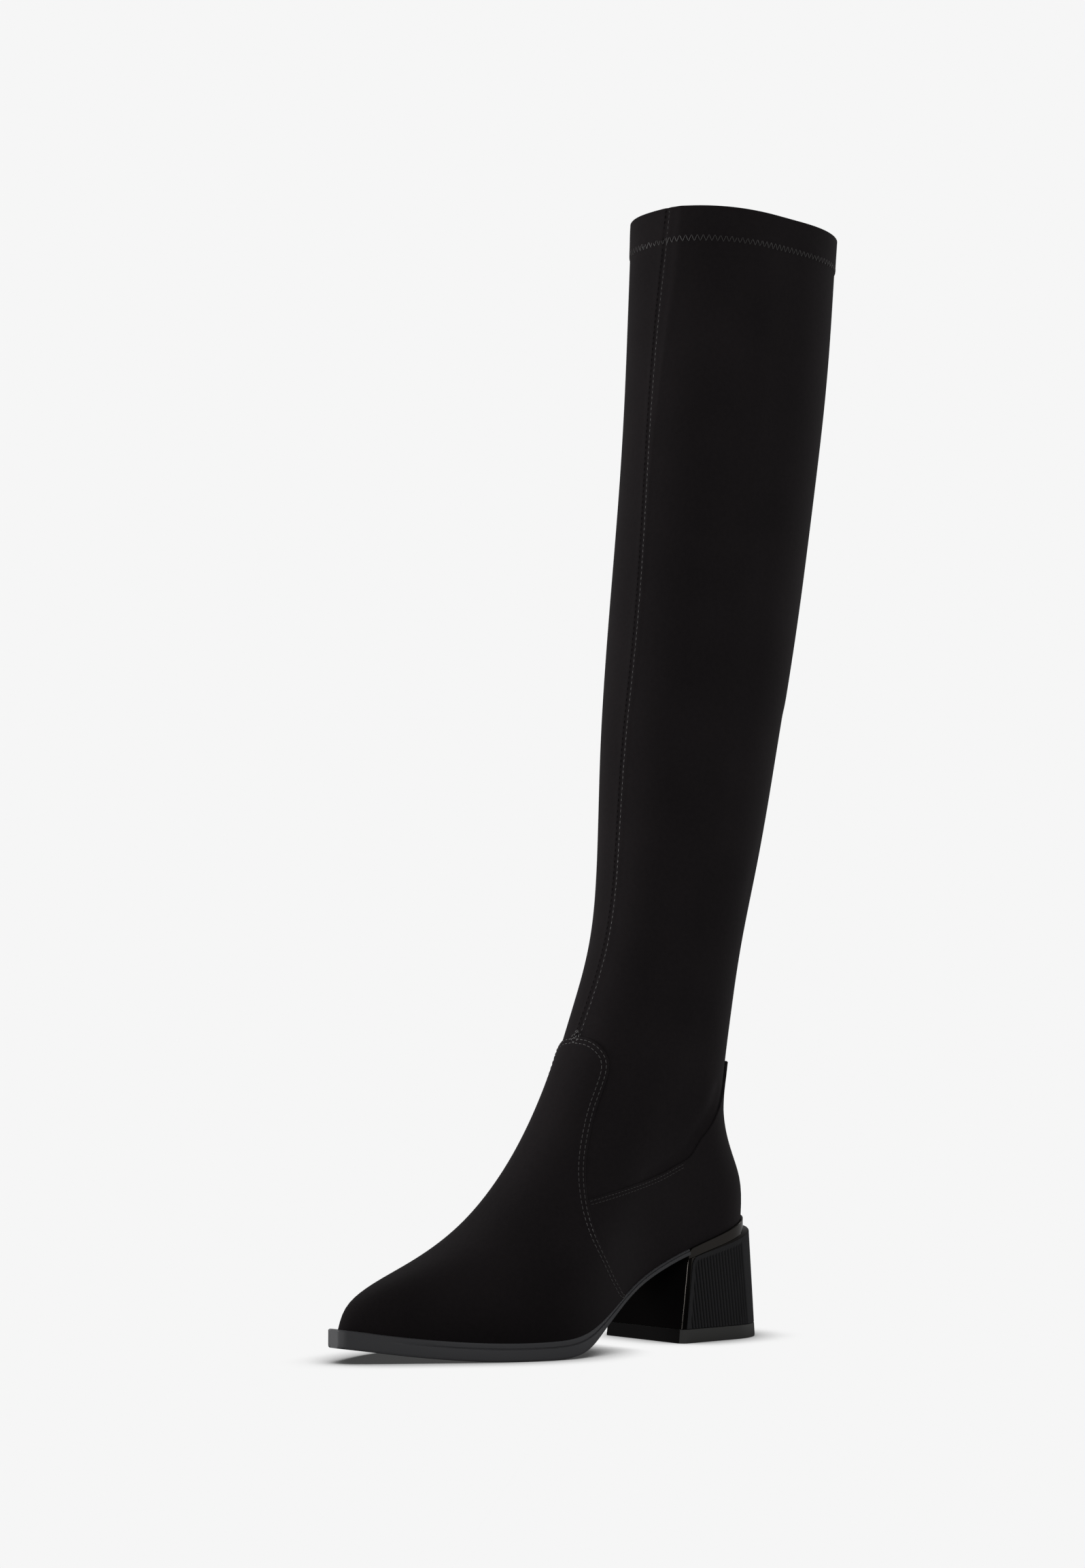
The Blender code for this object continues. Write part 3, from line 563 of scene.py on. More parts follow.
# Knitted polyester lining: a dull fine rib, one wale each 0.9 mm, drawn a little coarse.
WALE, WAVE_TURN = 0.0009, 6.28
lining = principled("knitted polyester lining", Roughness=0.9, Specular_IOR_Level=0.1)
tree = lining.node_tree
place = node(tree, "TexCoord").outputs["Object"]
wales = node(tree, "TexWave", Vector=place, Scale=1 / WALE / WAVE_TURN, Distortion=0.6)
colour = node(
    tree, "Mix", wales.outputs["Fac"], settings={"data_type": "RGBA"},
    _6=linear("#1B1A1A"), _7=linear("#2A2829"),
)
bump = node(tree, "Bump", Height=wales.outputs["Fac"], Strength=0.4, Distance=0.0002)
feed(lining, Base_Color=colour.outputs[2], Normal=bump.outputs[0])

# The seam down the front: height, and how far it lies to the outer side of the front line.
SEAM = np.array([
    (156.0, 0.0), (175.0, 0.6), (207.0, 1.0), (262.0, 1.7), (306.0, 4.0), (353.0, 6.3),
    (399.0, 5.8), (440.0, 5.0), (500.0, 5.4), (541.0, 7.6), (565.0, 9.8), (589.0, 12.0),
])
# Soft troughs pressed into the upper: x and z of each one's line, depth and half width.
TROUGHS = (
    (((92, 87), (78, 92), (66, 98), (57, 107), (49, 118), (43, 129)), 0.8, 4.0),
    (((22, 232), (12, 262), (3, 296), (-4, 325)), 0.4, 6.0),
    (((96, 150), (86, 158), (74, 163)), 0.3, 7.0),
)
OUTER_ROWS, INNER_ROWS, RIM_ROWS = 300, 44, 5
SEAM_COLUMNS, WIDE_COLUMNS, SEAM_SPAN = 40, 210, 0.14

# The crease left where the boot lay folded flat: height, how far it lies to the outer side
# of the seam, and how far it stands out.
FOLD = np.array([
    (150.0, 1.0, 0.0), (200.0, 1.2, 0.35), (300.0, 1.4, 0.6), (400.0, 1.8, 0.8),
    (480.0, 4.6, 1.1), (530.0, 7.8, 1.4), (560.0, 8.6, 1.5), (589.0, 7.2, 1.6),
])
FOLD_SOFT, FOLD_WIDE = 0.5, 7.0
# The seam's groove: depth and half width. The swell beside it: height, how far out, half
# width. The cloth's slow waves: height, and from where up they grow over what height.
GROOVE_DEEP, GROOVE_WIDE = 0.40, 0.8
SWELL_HIGH, SWELL_OUT, SWELL_WIDE = 0.18, 2.2, 1.5
WAVE_HIGH, WAVE_FROM, WAVE_GROWS = 0.22, 175, 60
FRONT_STEPS, TROUGH_STEPS, FRONT_BEND = 2000, 60, 0.35


def front_t(z):
    """The rings whose front is at heights z."""
    steps = np.linspace(0, 1, FRONT_STEPS)
    return np.interp(z, section("front_z", steps), steps)


def near_front(z, across):
    """t and angle of points at heights z, across mm to the outer side of the front line:
    each takes the ring whose front is at its height and the angle whose y fits."""
    t = front_t(z)
    low, high = np.zeros(t.shape), np.full(t.shape, 1.2)
    for _ in range(ANGLE_HALVINGS):
        angle = (low + high) / 2
        beyond = skin(t, angle)[..., 1] - section("front_y", t) > across
        low, high = np.where(beyond, low, angle), np.where(beyond, angle, high)
    return t, (low + high) / 2


def away_from(points, line):
    """Each point's distance to the nearest of a line's points."""
    return nearest(points.reshape(-1, 3), line)[1].reshape(points.shape[:-1])


def length_along(points):
    """How far along a line each of its points lies."""
    steps = np.linalg.norm(np.diff(points, axis=0), axis=1)
    return np.concatenate([[0.0], np.cumsum(steps)])


def between(at, far, values):
    """Rows of values at places along a line, from those at its own points."""
    return np.stack([np.interp(at, far, column) for column in values.T], axis=1)


def along(line, count):
    """A line sampled evenly along its length."""
    line = np.asarray(line, float)
    far = length_along(line)
    return between(np.linspace(0.0, far[-1], count), far, line)


seam_z = np.linspace(156.5, 588.7, 400)
seam_out = column_at(SEAM, 1, seam_z)
seam_t, seam_angle = near_front(seam_z, seam_out)
seam_line = skin(seam_t, seam_angle)
fold_line = skin(*near_front(seam_z, seam_out + column_at(FOLD, 1, seam_z)))


def relief(t, angle):
    """What stands out of or sinks into the plain surface: the troughs as bell curves across
    their lines, the groove of the seam with a swell each side, the soft ridge of the fold,
    and the stretched cloth's slow waves above the ankle."""
    points = skin(t, angle)
    depth = np.zeros(points.shape[:-1])
    for line, deep, wide in TROUGHS:
        path = along(line, TROUGH_STEPS)
        trough = skin(*on_skin(path[:, 0], path[:, 1]))
        depth -= deep * np.exp(-((away_from(points, trough) / wide) ** 2))
    away = away_from(points, seam_line)
    swell = SWELL_HIGH * np.exp(-(((away - SWELL_OUT) / SWELL_WIDE) ** 2))
    depth += swell - GROOVE_DEEP * np.exp(-((away / GROOVE_WIDE) ** 2))
    away = away_from(points, fold_line)
    crease = np.exp(-(np.sqrt(away**2 + FOLD_SOFT**2) - FOLD_SOFT) / FOLD_WIDE)
    depth += crease * np.interp(points[..., 2], FOLD[:, 0], FOLD[:, 2])
    slow = np.sin(2 * angle + 9 * t) * np.sin(17 * t) + 0.6 * np.sin(3 * angle - 23 * t + 1)
    return depth + WAVE_HIGH * slow * np.clip((points[..., 2] - WAVE_FROM) / WAVE_GROWS, 0, 1)


def upper_grid(t_row):
    """t and angle of the upper's grid, its middle columns bent to follow the seam."""
    fine = np.linspace(-SEAM_SPAN, SEAM_SPAN, SEAM_COLUMNS + 1)
    wide = np.linspace(SEAM_SPAN, 2 * math.pi - SEAM_SPAN, WIDE_COLUMNS + 2)[1:-1]
    t, angle = np.meshgrid(t_row, np.concatenate([fine, wide]), indexing="ij")
    bend = np.interp(t, seam_t, seam_angle) * np.exp(-((np.sin(angle / 2) / FRONT_BEND) ** 4))
    return t, angle + bend


t, angle = upper_grid(np.linspace(0.0, 1.0, OUTER_ROWS))
outside = lifted(t, angle, relief(t, angle))
inside = lifted(*upper_grid(np.linspace(1.0, 0.0, INNER_ROWS)), -WALL)
rings = turned_over(outside, inside, RIM_ROWS)
quads = grid_faces(*rings.shape[:2], True, True)
lined = np.repeat(np.arange(len(rings)) >= OUTER_ROWS + RIM_ROWS - 1, rings.shape[1])
upper = piece("upper_suede", rings, quads, (suede, lining), kinds=lined)
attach(upper, "boot")
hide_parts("upper")

# ---------------------------------------------------------------------------------------
# Vamp: the front panel of the same microsuede, cut in one piece from the toe to the ankle,
# laid over the shaft, cemented and stitched with two rows along its raw edge.

VAMP_EDGE = np.array([
    (121.0, 158.6), (114.0, 156.4), (111.6, 152.0), (110.2, 146.5), (110.8, 140.0),
    (113.4, 133.0), (119.5, 120.5), (125.8, 106.0), (130.8, 92.5), (134.0, 78.0),
    (134.5, 66.0), (132.5, 56.0), (128.0, 47.0), (121.3, 37.0), (113.5, 28.0), (108.0, 20.0),
])
VAMP_LIFT, VAMP_BASE, VAMP_ROLL = 1.3, 0.45, 0.6
VAMP_COLUMNS, VAMP_ROWS = 190, 80
CURVE_STEPS = 1500


def side_curve(points, count):
    """t and angle of a smooth curve on the outer side, from its points' x and z, sampled so
    that both its length and its angle go in small steps."""
    far = length_along(points)
    at = np.linspace(0.0, far[-1], CURVE_STEPS)
    t, angle = on_skin(*(spline(far, points[:, i], at) for i in (0, 1)))
    above = t > 1e-7
    t, angle = t[above], np.maximum.accumulate(angle[above])
    far = length_along(skin(t, angle)) / 1.3 + np.abs(angle - angle[0]) / 0.018
    at = np.linspace(0.0, far[-1], count)
    return np.interp(at, far, t), np.interp(at, far, angle)


def panel(low_t, high_t, angle, rows, base, lift, roll, edge):
    """A layer of cloth as rings, one for each angle: up its outer face from low_t to
    high_t and back down its inner one. Its face rolls down to the base at its edge, and
    its rows lie closer together near high_t."""
    share = 1.0 - np.linspace(1.0, 0.0, rows) ** 1.8
    t = low_t[:, None] + (high_t - low_t)[:, None] * share
    turn = np.broadcast_to(angle[:, None], t.shape)
    away = away_from(skin(t, turn), edge)
    rise = 1.0 - np.clip(1.0 - away / roll, 0.0, 1.0) ** 2
    extra = lift(t, turn) if callable(lift) else lift
    outer = lifted(t, turn, base + (extra - base) * np.sqrt(rise))
    inner = lifted(t[:, ::-1], turn[:, ::-1], base - 0.05)
    return np.concatenate([outer, inner], axis=1)


def closed_rings(name, rings, materials, sharp=40.0, kinds=None):
    """A loft through closed rings, with a face over its first and its last. The kinds are
    the material of each face, ring by ring, and of the two ends."""
    count = rings.shape[1]
    caps = [np.arange(count), np.arange(count) + (len(rings) - 1) * count]
    quads = grid_faces(len(rings), count, False, True)
    return piece(name, rings, quads, materials, caps, kinds, sharp)


edge_t, edge_angle = side_curve(VAMP_EDGE, VAMP_COLUMNS // 2)
edge_angle[0] = 0.0
vamp_t = np.concatenate([edge_t[:0:-1], edge_t])
vamp_angle = np.concatenate([-edge_angle[:0:-1], edge_angle])
vamp_line = along(skin(vamp_t, vamp_angle), CURVE_STEPS)
rings = panel(
    np.zeros(len(vamp_t)), np.maximum(vamp_t, 1e-4), vamp_angle, VAMP_ROWS,
    VAMP_BASE, VAMP_LIFT, VAMP_ROLL, vamp_line,
)
vamp = closed_rings("vamp_suede", rings, (suede,))
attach(vamp, "boot")
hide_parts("vamp")

# ---------------------------------------------------------------------------------------
# Counter: the panel round the heel with the tab up its back, the same microsuede. It runs
# under the vamp in front and stops short of the zip on the inner side.

COUNTER_EDGE = np.array([
    (133.6, 75.6), (122.4, 78.0), (110.0, 80.5), (96.4, 83.3), (81.7, 87.1), (70.5, 91.2),
    (61.0, 96.0), (56.0, 102.5), (50.5, 108.0), (45.7, 113.8), (41.0, 120.5), (36.8, 129.0),
    (34.0, 137.0), (33.0, 143.5),
])
COUNTER_LIFT, COUNTER_BASE, COUNTER_ROLL = 0.85, 0.3, 0.4
TAB_LIFT, TAB_FROM, TAB_RISE = 1.6, 118.0, 18.0
COUNTER_COLUMNS, COUNTER_ROWS, COUNTER_UNDER = 130, 44, 0.004
BEHIND_HEEL = -20.0
# The zip's middle line: height and how far forward it lies.
ZIP_LINE = np.array([
    (0.0, 107.0), (26.0, 107.5), (50.0, 107.0), (75.0, 105.0), (100.0, 101.0),
    (125.0, 95.0), (148.0, 87.0), (172.0, 76.0), (197.0, 64.0), (230.0, 52.0),
    (268.0, 42.0), (300.0, 34.0),
])
ZIP_TAPE_HALF, ZIP_ROOM = 7.0, 0.6

top_t, top_angle = side_curve(COUNTER_EDGE, 200)
tab_t = on_skin(np.array([BEHIND_HEEL]), COUNTER_EDGE[-1:, 1])[0]
top_t, top_angle = np.append(top_t, tab_t), np.append(top_angle, math.pi)


def counter_half(front):
    """Angles from the front one to the back line, and t of the lower and upper edge."""
    angle = front + (math.pi - front) * np.linspace(0.0, 1.0, COUNTER_COLUMNS)
    low = np.interp(angle, edge_angle, edge_t) - COUNTER_UNDER
    low = np.where(angle < edge_angle[-1], np.maximum(low, 0.0), 0.0)
    return angle, low, np.interp(angle, top_angle, top_t)


def counter_lift(t, angle):
    """The tab stands prouder than the rest: the stiffener ends inside it."""
    height = skin(t, angle)[..., 2]
    share = np.clip((height - TAB_FROM) / TAB_RISE, 0, 1)
    return COUNTER_LIFT + (TAB_LIFT - COUNTER_LIFT) * share


outer_angle, outer_low, outer_high = counter_half(top_angle[0])
rear = on_skin(ZIP_LINE[:5, 1] - ZIP_TAPE_HALF - ZIP_ROOM, ZIP_LINE[:5, 0])[1]
inner_angle, inner_low, inner_high = counter_half(rear.max())
angle = np.concatenate([outer_angle, 2 * math.pi - inner_angle[-2::-1]])
low = np.concatenate([outer_low, inner_low[-2::-1]])
high = np.concatenate([outer_high, inner_high[-2::-1]])
counter_line = along(skin(high, angle), CURVE_STEPS)
rings = panel(
    low, high, angle, COUNTER_ROWS, COUNTER_BASE, counter_lift, COUNTER_ROLL, counter_line
)
counter = closed_rings("counter_suede", rings, (suede,))
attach(counter, "boot")
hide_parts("counter")

# ---------------------------------------------------------------------------------------
# Collar hem: the cloth turned in over the collar, so that only a soft band with a clean
# folded edge shows outside. It puckers a little where the zigzag pulls it in.

HEM_DOWN, HEM_BELOW, HEM_ROWS, HEM_COLUMNS = 17.0, 1.5, 28, 360
HEM_Z = COLLAR_Z - HEM_DOWN
# How far it stands out, over what height it comes to that, and how soft its waves are.
HEM_LIFT, HEM_RISE, HEM_WAVE = 0.50, 3.0, 0.16
PUCKERS, PUCKER_HIGH, PUCKER_WIDE, PUCKER_SUNK = 66, 0.10, 2.4, 0.05
HEM_INSIDE, HEM_RIM_ROWS, HEM_RIM_HIGH = 0.5, 6, 0.35

low_t = float(front_t(HEM_Z - HEM_BELOW))
t, angle = np.meshgrid(
    np.linspace(low_t, 1.0, HEM_ROWS),
    np.linspace(0, 2 * math.pi, HEM_COLUMNS, endpoint=False), indexing="ij",
)
up = (t - low_t) / (1.0 - low_t) * (HEM_DOWN + HEM_BELOW)
pulled = np.exp(-(((up - HEM_BELOW) / PUCKER_WIDE) ** 2))
lift = HEM_LIFT * np.clip(up / HEM_RISE, 0, 1) ** 0.8
lift = lift + pulled * (PUCKER_HIGH * np.sin(angle * PUCKERS) - PUCKER_SUNK)
lift += HEM_WAVE * np.sin(7 * angle + 1) * np.sin(0.35 * up) - PUCKER_SUNK
outside = lifted(t, angle, relief(t, angle) + lift)
inside = lifted(t[::-1], angle[::-1], -WALL - HEM_INSIDE)
rings = turned_over(outside, inside, HEM_RIM_ROWS, HEM_RIM_HIGH)
quads = grid_faces(len(rings), HEM_COLUMNS, True, True)
hem = piece("collar_hem_band", rings, quads, (suede,))
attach(hem, "boot")
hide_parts("collar_hem")

# ---------------------------------------------------------------------------------------
# Stitching: bonded polyester thread, black, with a gloss that the suede lacks. Each stitch
# is a short rope that dives into the cloth at both ends.

STITCH_RINGS = np.array([
    # place along the stitch, thickness, height above its ends
    (0.00, 0.40, -0.10), (0.10, 0.85, 0.30), (0.30, 1.00, 0.62), (0.50, 1.00, 0.70),
    (0.70, 1.00, 0.62), (0.90, 0.85, 0.30), (1.00, 0.40, -0.10),
])
STITCH_SIDES = 6
THREAD, FIRST_STITCH = 0.22, 0.3

thread = principled(
    "bonded polyester thread", Roughness=0.42, Specular_IOR_Level=0.5,
    Base_Color=linear("#3D3B3B"),
)


def beside(t, angle, away):
    """A curve moved away mm to its left over the surface: the step in t and angle whose
    move along the surface's two tangents fits best."""
    small, steps = 2e-3, 3
    for _ in range(steps):
        t = np.clip(t, small, 1.0 - small)
        point = skin(t, angle)
        by_t = (skin(t + small, angle) - skin(t - small, angle)) / (2 * small)
        by_angle = (skin(t, angle + small) - skin(t, angle - small)) / (2 * small)
        tangent = np.gradient(point, axis=0)
        left = np.cross(skin_normal(t, angle), tangent)
        left *= away / steps / np.linalg.norm(left, axis=1, keepdims=True)
        a, b, c = (by_t**2).sum(1), (by_t * by_angle).sum(1), (by_angle**2).sum(1)
        u, v = (by_t * left).sum(1), (by_angle * left).sum(1)
        det = a * c - b * b
        t, angle = t + (c * u - b * v) / det, angle + (a * v - b * u) / det
    return np.clip(t, 0.0, 1.0), angle


def stitch_row(t, angle, lift, pitch, length):
    """Starts, ends and normals of stitches along a curve, one for each pitch."""
    point = lifted(t, angle, lift)
    normal = skin_normal(t, angle)
    far = length_along(point)
    start = np.arange(FIRST_STITCH, far[-1] - length, pitch)
    middles = between(start + length / 2, far, normal)
    return between(start, far, point), between(start + length, far, point), middles


def stitch_points(start, end, normal, radius):
    """Rings of points along each stitch, bowed out along its normal."""
    way = end - start
    side = unit(np.cross(normal, way))
    place, thick, height = STITCH_RINGS.T
    turn = np.linspace(0, 2 * math.pi, STITCH_SIDES, endpoint=False)
    across = thick[:, None] * np.cos(turn) * radius
    out = (thick[:, None] * np.sin(turn) + height[:, None]) * radius
    spine = start[:, None, None] + way[:, None, None] * place[:, None, None]
    spine = spine + side[:, None, None] * across[..., None]
    return spine + normal[:, None, None] * out[..., None]


def stitching(name, rows, radius=THREAD):
    """One mesh of all the rows' stitches, their ends closed by two quads each."""
    start, end, normal = (np.concatenate(part) for part in zip(*rows))
    points = stitch_points(start, end, normal, radius)
    rings, sides = len(STITCH_RINGS), STITCH_SIDES
    quads = grid_faces(rings, sides, False, True)
    first = np.array([(0, 1, 2, 5), (2, 3, 4, 5)])
    last = first[:, ::-1] + (rings - 1) * sides
    quads = np.concatenate([quads[:, ::-1], first[:, ::-1], last[:, ::-1]])
    step = np.arange(len(start)) * rings * sides
    made = piece(name, points, (quads + step[:, None, None]).reshape(-1, 4), (thread,))
    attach(made, "boot")
    return made


# Pitch and length of the stitches in each seam, and how far in from an edge its rows run.
SEAM_STITCH, SEAM_ON_HEM, SEAM_BELOW = (2.9, 1.6), 0.36, -0.02
VAMP_STITCH, VAMP_STITCHED, VAMP_SUNK = (2.9, 2.1), (1.5, 3.8), 0.08
COUNTER_STITCH, COUNTER_STITCHED, COUNTER_SUNK = (2.3, 1.6), (1.2, 2.9), 0.06
COUNTER_SEEN = 2.06
HEM_ZIGZAG, HEM_ZIGZAG_PITCH, HEM_STEPS = 3.6, 3.0, 1600
seam_split = np.interp(seam_z, [160.0, 178.0, 215.0, 260.0], [2.0, 1.8, 1.5, 1.3])
# The inner row's stitches are given a dark thread without gloss: painted shade on that row.
shaded_thread = principled(
    "polyester thread in painted shade", Roughness=0.9, Specular_IOR_Level=0.0,
    Base_Color=linear("#0E0D0D"),
)
for side, name, radius in ((1, "inner", 0.13), (-1, "outer", 0.15)):
    t, angle = beside(seam_t, seam_angle, side * seam_split[:, None])
    on_hem = skin(t, angle)[..., 2] > HEM_Z
    lift = relief(t, angle) + np.where(on_hem, SEAM_ON_HEM, SEAM_BELOW)
    rows = [stitch_row(t, angle, lift, *SEAM_STITCH)]
    made = stitching("front_seam_stitches_" + name, rows, radius)
    if name == "inner":
        made.data.materials[0] = shaded_thread

rows = [
    stitch_row(*beside(vamp_t, vamp_angle, -away), VAMP_LIFT - VAMP_SUNK, *VAMP_STITCH)
    for away in VAMP_STITCHED
]
stitching("vamp_stitches", rows)

# The counter's rows stop where its tab turns up the back.
line = top_t[top_angle < COUNTER_SEEN], top_angle[top_angle < COUNTER_SEEN]
rows = [
    stitch_row(*beside(*line, -away), COUNTER_LIFT - COUNTER_SUNK, *COUNTER_STITCH)
    for away in COUNTER_STITCHED
]
stitching("counter_stitches", rows, 0.15)

angle = np.linspace(0, 2 * math.pi, HEM_STEPS)
far = length_along(skin(front_t(HEM_Z), angle))
count = int(round(far[-1] / HEM_ZIGZAG_PITCH))
at = np.linspace(0.0, far[-1], 2 * count + 1)
turn = np.interp(at, far, angle)
rise = np.where(np.arange(2 * count + 1) % 2, 0.5, -0.5)
t = front_t(HEM_Z + rise * HEM_ZIGZAG)
corner = lifted(t, turn, relief(t, turn) + 0.24 + 0.2 * rise)
normal = skin_normal(t, turn)
way = corner[1:] - corner[:-1]
start, end = corner[:-1] + 0.05 * way, corner[:-1] + 0.95 * way
normal = (normal[:-1] + normal[1:]) / 2
seam_y = seam_line[np.searchsorted(seam_z, HEM_Z), 1]
outer_part = (start[:, 1] > seam_y) | (start[:, 0] < 0.0)
for name, part, radius in (
    ("hem_zigzag_outer", outer_part, 0.19), ("hem_zigzag_inner", ~outer_part, 0.10)
):
    stitching(name, [(start[part], end[part], normal[part])], radius)

# ---------------------------------------------------------------------------------------
# Insole: a foam sock covered with the lining's knit, lying on the sole inside the wall.

INSOLE_THICKNESS, INSOLE_MARGIN, INSOLE_END = 2.0, 1.0, 0.3
half_turn = np.linspace(INSOLE_END, math.pi - INSOLE_END, 90)
left = lifted(0.0, half_turn, -WALL - INSOLE_MARGIN)
right = lifted(0.0, 2 * math.pi - half_turn, -WALL - INSOLE_MARGIN)
across = (1 - np.cos(np.linspace(0, math.pi, 15))) / 2
base = left[:, None] + (right - left)[:, None] * across[:, None]
edge = np.sqrt(np.clip(1 - np.abs(2 * across - 1) ** 8, 0.04, 1))
face = base + np.array([0, 0, INSOLE_THICKNESS]) * edge[:, None]
rings = np.concatenate([base, face[:, ::-1]], axis=1)
insole = closed_rings("insole_sock", rings, (lining,))
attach(insole, "boot")
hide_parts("insole")

# ---------------------------------------------------------------------------------------
# Outsole: moulded rubber, one piece with forefoot, arch and a thin shank. A rim stands out
# round the lower two thirds of its side, and the forefoot has a fine cross tread.

SEAT_FRONT, GAP = 61.4, 0.3
TOE_CORNER = 3.0
TREAD_PITCH, TREAD_DEPTH, TREAD_FROM, TREAD_TO = 3.6, 0.5, 165.0, 246.0
TREAD_STEPS = 6
# The side's profile: how far in from the edge, and what share of the thickness down.
SOLE_PROFILE = np.array([
    (1.4, 0.0), (0.95, 0.02), (0.7, 0.06), (0.6, 0.12), (0.62, 0.27), (0.95, 0.31),
    (0.95, 0.335), (0.12, 0.36), (0.0, 0.40), (0.0, 0.84), (0.1, 0.92), (0.45, 0.975),
    (1.2, 1.0),
])
SOLE_ACROSS = 24
# The narrower band above the crease, by share of the thickness, fades into the rest at the toe.
BAND, BAND_FADES = (0.05, 0.38), (215.0, 25.0)


def corner_cut(radius, past):
    """How far a rounded corner has drawn in at a point so far past its start: the radius
    less the circle's height there."""
    return radius - np.sqrt(radius**2 - past**2)


tread_steps = int((TREAD_TO - TREAD_FROM) / TREAD_PITCH * TREAD_STEPS)
x = np.concatenate([
    np.linspace(SEAT_FRONT + GAP, TREAD_FROM, 56)[:-1],
    np.linspace(TREAD_FROM, TREAD_TO, tread_steps + 1),
    np.linspace(TREAD_TO, SOLE_FRONT - TOE_CORNER, 8)[1:-1],
    SOLE_FRONT - TOE_CORNER * (1 - np.sin(np.linspace(0, math.pi / 2, 9))),
])
top = sole_top(x) + 0.04
bottom = np.maximum(sole_top(x) - column_at(SOLE_LINE, 2, x), 0.0)
corner = corner_cut(TOE_CORNER, np.clip(x - SOLE_FRONT + TOE_CORNER, 0, None))
outer, inner = column_at(SOLE_PLAN, 1, x) - corner, column_at(SOLE_PLAN, 2, x) + corner
z = top[:, None] - SOLE_PROFILE[:, 1] * (top - bottom)[:, None]
x_grid = np.broadcast_to(x[:, None], z.shape)
band = (SOLE_PROFILE[:, 1] > BAND[0]) & (SOLE_PROFILE[:, 1] < BAND[1])
fades = 1.0 - band * np.clip((x[:, None] - BAND_FADES[0]) / BAND_FADES[1], 0, 1)
draw_in = SOLE_PROFILE[:, 0] * fades
left = np.stack([x_grid, outer[:, None] - draw_in, z], axis=-1)
right = np.stack([x_grid, inner[:, None] + draw_in, z], axis=-1)
share = np.linspace(0, 1, SOLE_ACROSS)[1:-1, None]
under = left[:, -1:] + (right[:, -1:] - left[:, -1:]) * share
phase = (x - TREAD_FROM) / TREAD_PITCH
wave = np.clip(1.4 * np.sin(2 * math.pi * phase) - 0.2, 0, 1) * ((phase > 0) & (x < TREAD_TO))
flat = np.clip(np.minimum(share[:, 0], 1 - share[:, 0]) * 12 - 0.6, 0, 1)
under[..., 2] += TREAD_DEPTH * wave[:, None] * flat
over = right[:, :1] + (left[:, :1] - right[:, :1]) * share
rings = np.concatenate([left, under, right[:, ::-1], over], axis=1)
rubber = principled(
    "moulded black rubber", Roughness=0.5, Specular_IOR_Level=0.3,
    Base_Color=linear("#3D3D3F"),
)
outsole = closed_rings("outsole_rubber", rings, (rubber,), sharp=30.0)
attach(outsole, "boot")
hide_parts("outsole")

# ---------------------------------------------------------------------------------------
# Heel core: the moulded ABS block, plated in black nickel where it shows as a rim round
# the seat and as a strip down each front corner. Its breast is flat black without gloss:
# partly its own dark face, partly painted shade under the arch.

HEEL_FLOOR = (-0.2, 68.0, 28.9, -32.6)
HEEL_SEAT = (4.1, SEAT_FRONT, 28.2, -29.8)
HEEL_HEIGHT, HEEL_ROUND, HEEL_NOSE = 59.0, 29.0, 0.12
STRAIGHT = HEEL_FLOOR[1] - HEEL_FLOOR[0] - HEEL_ROUND
LIFT_HEIGHT, RIM_HEIGHT, RIM_LIP = 7.0, 4.6, 0.9
RIM_CORNER, RIM_REACH = 3.8, 1.4
# How much higher the rim, and the cover below it, lie at the back, and how they get there.
RIM_UP, RIM_RISE, COVER_RISE, RISE_REACH, RISE_POWER = 0.5, 2.8, 1.2, 50.0, 1.5
# The rim's rings: how far each stands out, how high above the rim's lower edge, and whether
# it rises with the top.
RIM_RINGS = (
    (0.55, 0.02, 0), (0.8, 0.08, 0), (RIM_LIP, 0.2, 0), (RIM_LIP, 0.4, 0),
    (RIM_LIP, RIM_HEIGHT - 0.6, 1), (RIM_LIP, RIM_HEIGHT - 0.4, 1),
    (0.78, RIM_HEIGHT - 0.15, 1), (0.5, RIM_HEIGHT, 1), (-0.1, RIM_HEIGHT, 1),
    (-0.3, RIM_HEIGHT - 0.3, 0),
)
STRIP_WIDTH, COVER_WALL, RECESS_CORNER, RECESS_EDGE = 2.6, 2.6, 5.6, 0.35
# The strip's plan from the breast: how far back and how far in from the side.
STRIP_PLAN = np.array([
    (0.0, 1.9), (0.05, 1.81), (0.24, 1.45), (0.29, 1.36), (0.6, 0.99), (0.65, 0.96),
    (1.05, 0.73), (1.6, 0.41), (2.25, 0.03), (2.3, 0.0),
])
PANEL_TOP = 1.2
CORE_LOW, CORE_HIGH = 0.13, 0.9


def heel_outline(level, inset, straight, curved=24):
    """x and y round the heel at a level between the floor (0) and the seat (1), drawn in
    by inset, from the outer front corner round the back to the inner one. The straight
    points are given in millimetres behind the front."""
    back, front, outer, inner = (
        low + (high - low) * level for low, high in zip(HEEL_FLOOR, HEEL_SEAT)
    )
    back += inset
    corner = back + HEEL_ROUND
    turn = np.linspace(0.0, math.pi / 2, curved + 1)
    side_x = front - np.asarray(straight, float) * (front - corner) / STRAIGHT
    x = np.concatenate([side_x, corner - HEEL_ROUND * np.sin(turn[1:-1])])
    share = np.concatenate([np.ones(len(side_x)), np.cos(turn[1:-1])])
    middle = (outer + inner) / 2
    half = (outer - inner) / 2 - inset
    share = np.maximum(share, HEEL_NOSE)
    nose = HEEL_NOSE * np.array([1.0, 0.5, 0.0, -0.5, -1.0])
    left = np.stack([x, middle + half * share], axis=1)
    right = np.stack([x, middle - half * share], axis=1)
    tip = np.stack([np.full(5, back), middle + half * nose], axis=1)
    return np.concatenate([left, tip, right[::-1]])


def along_sides(values, count, rest):
    """A value for each point of a heel outline: a side's, the rest round the back, and the
    side's again the other way round."""
    return np.concatenate([values, np.full(count - 2 * len(values), rest), values[::-1]])


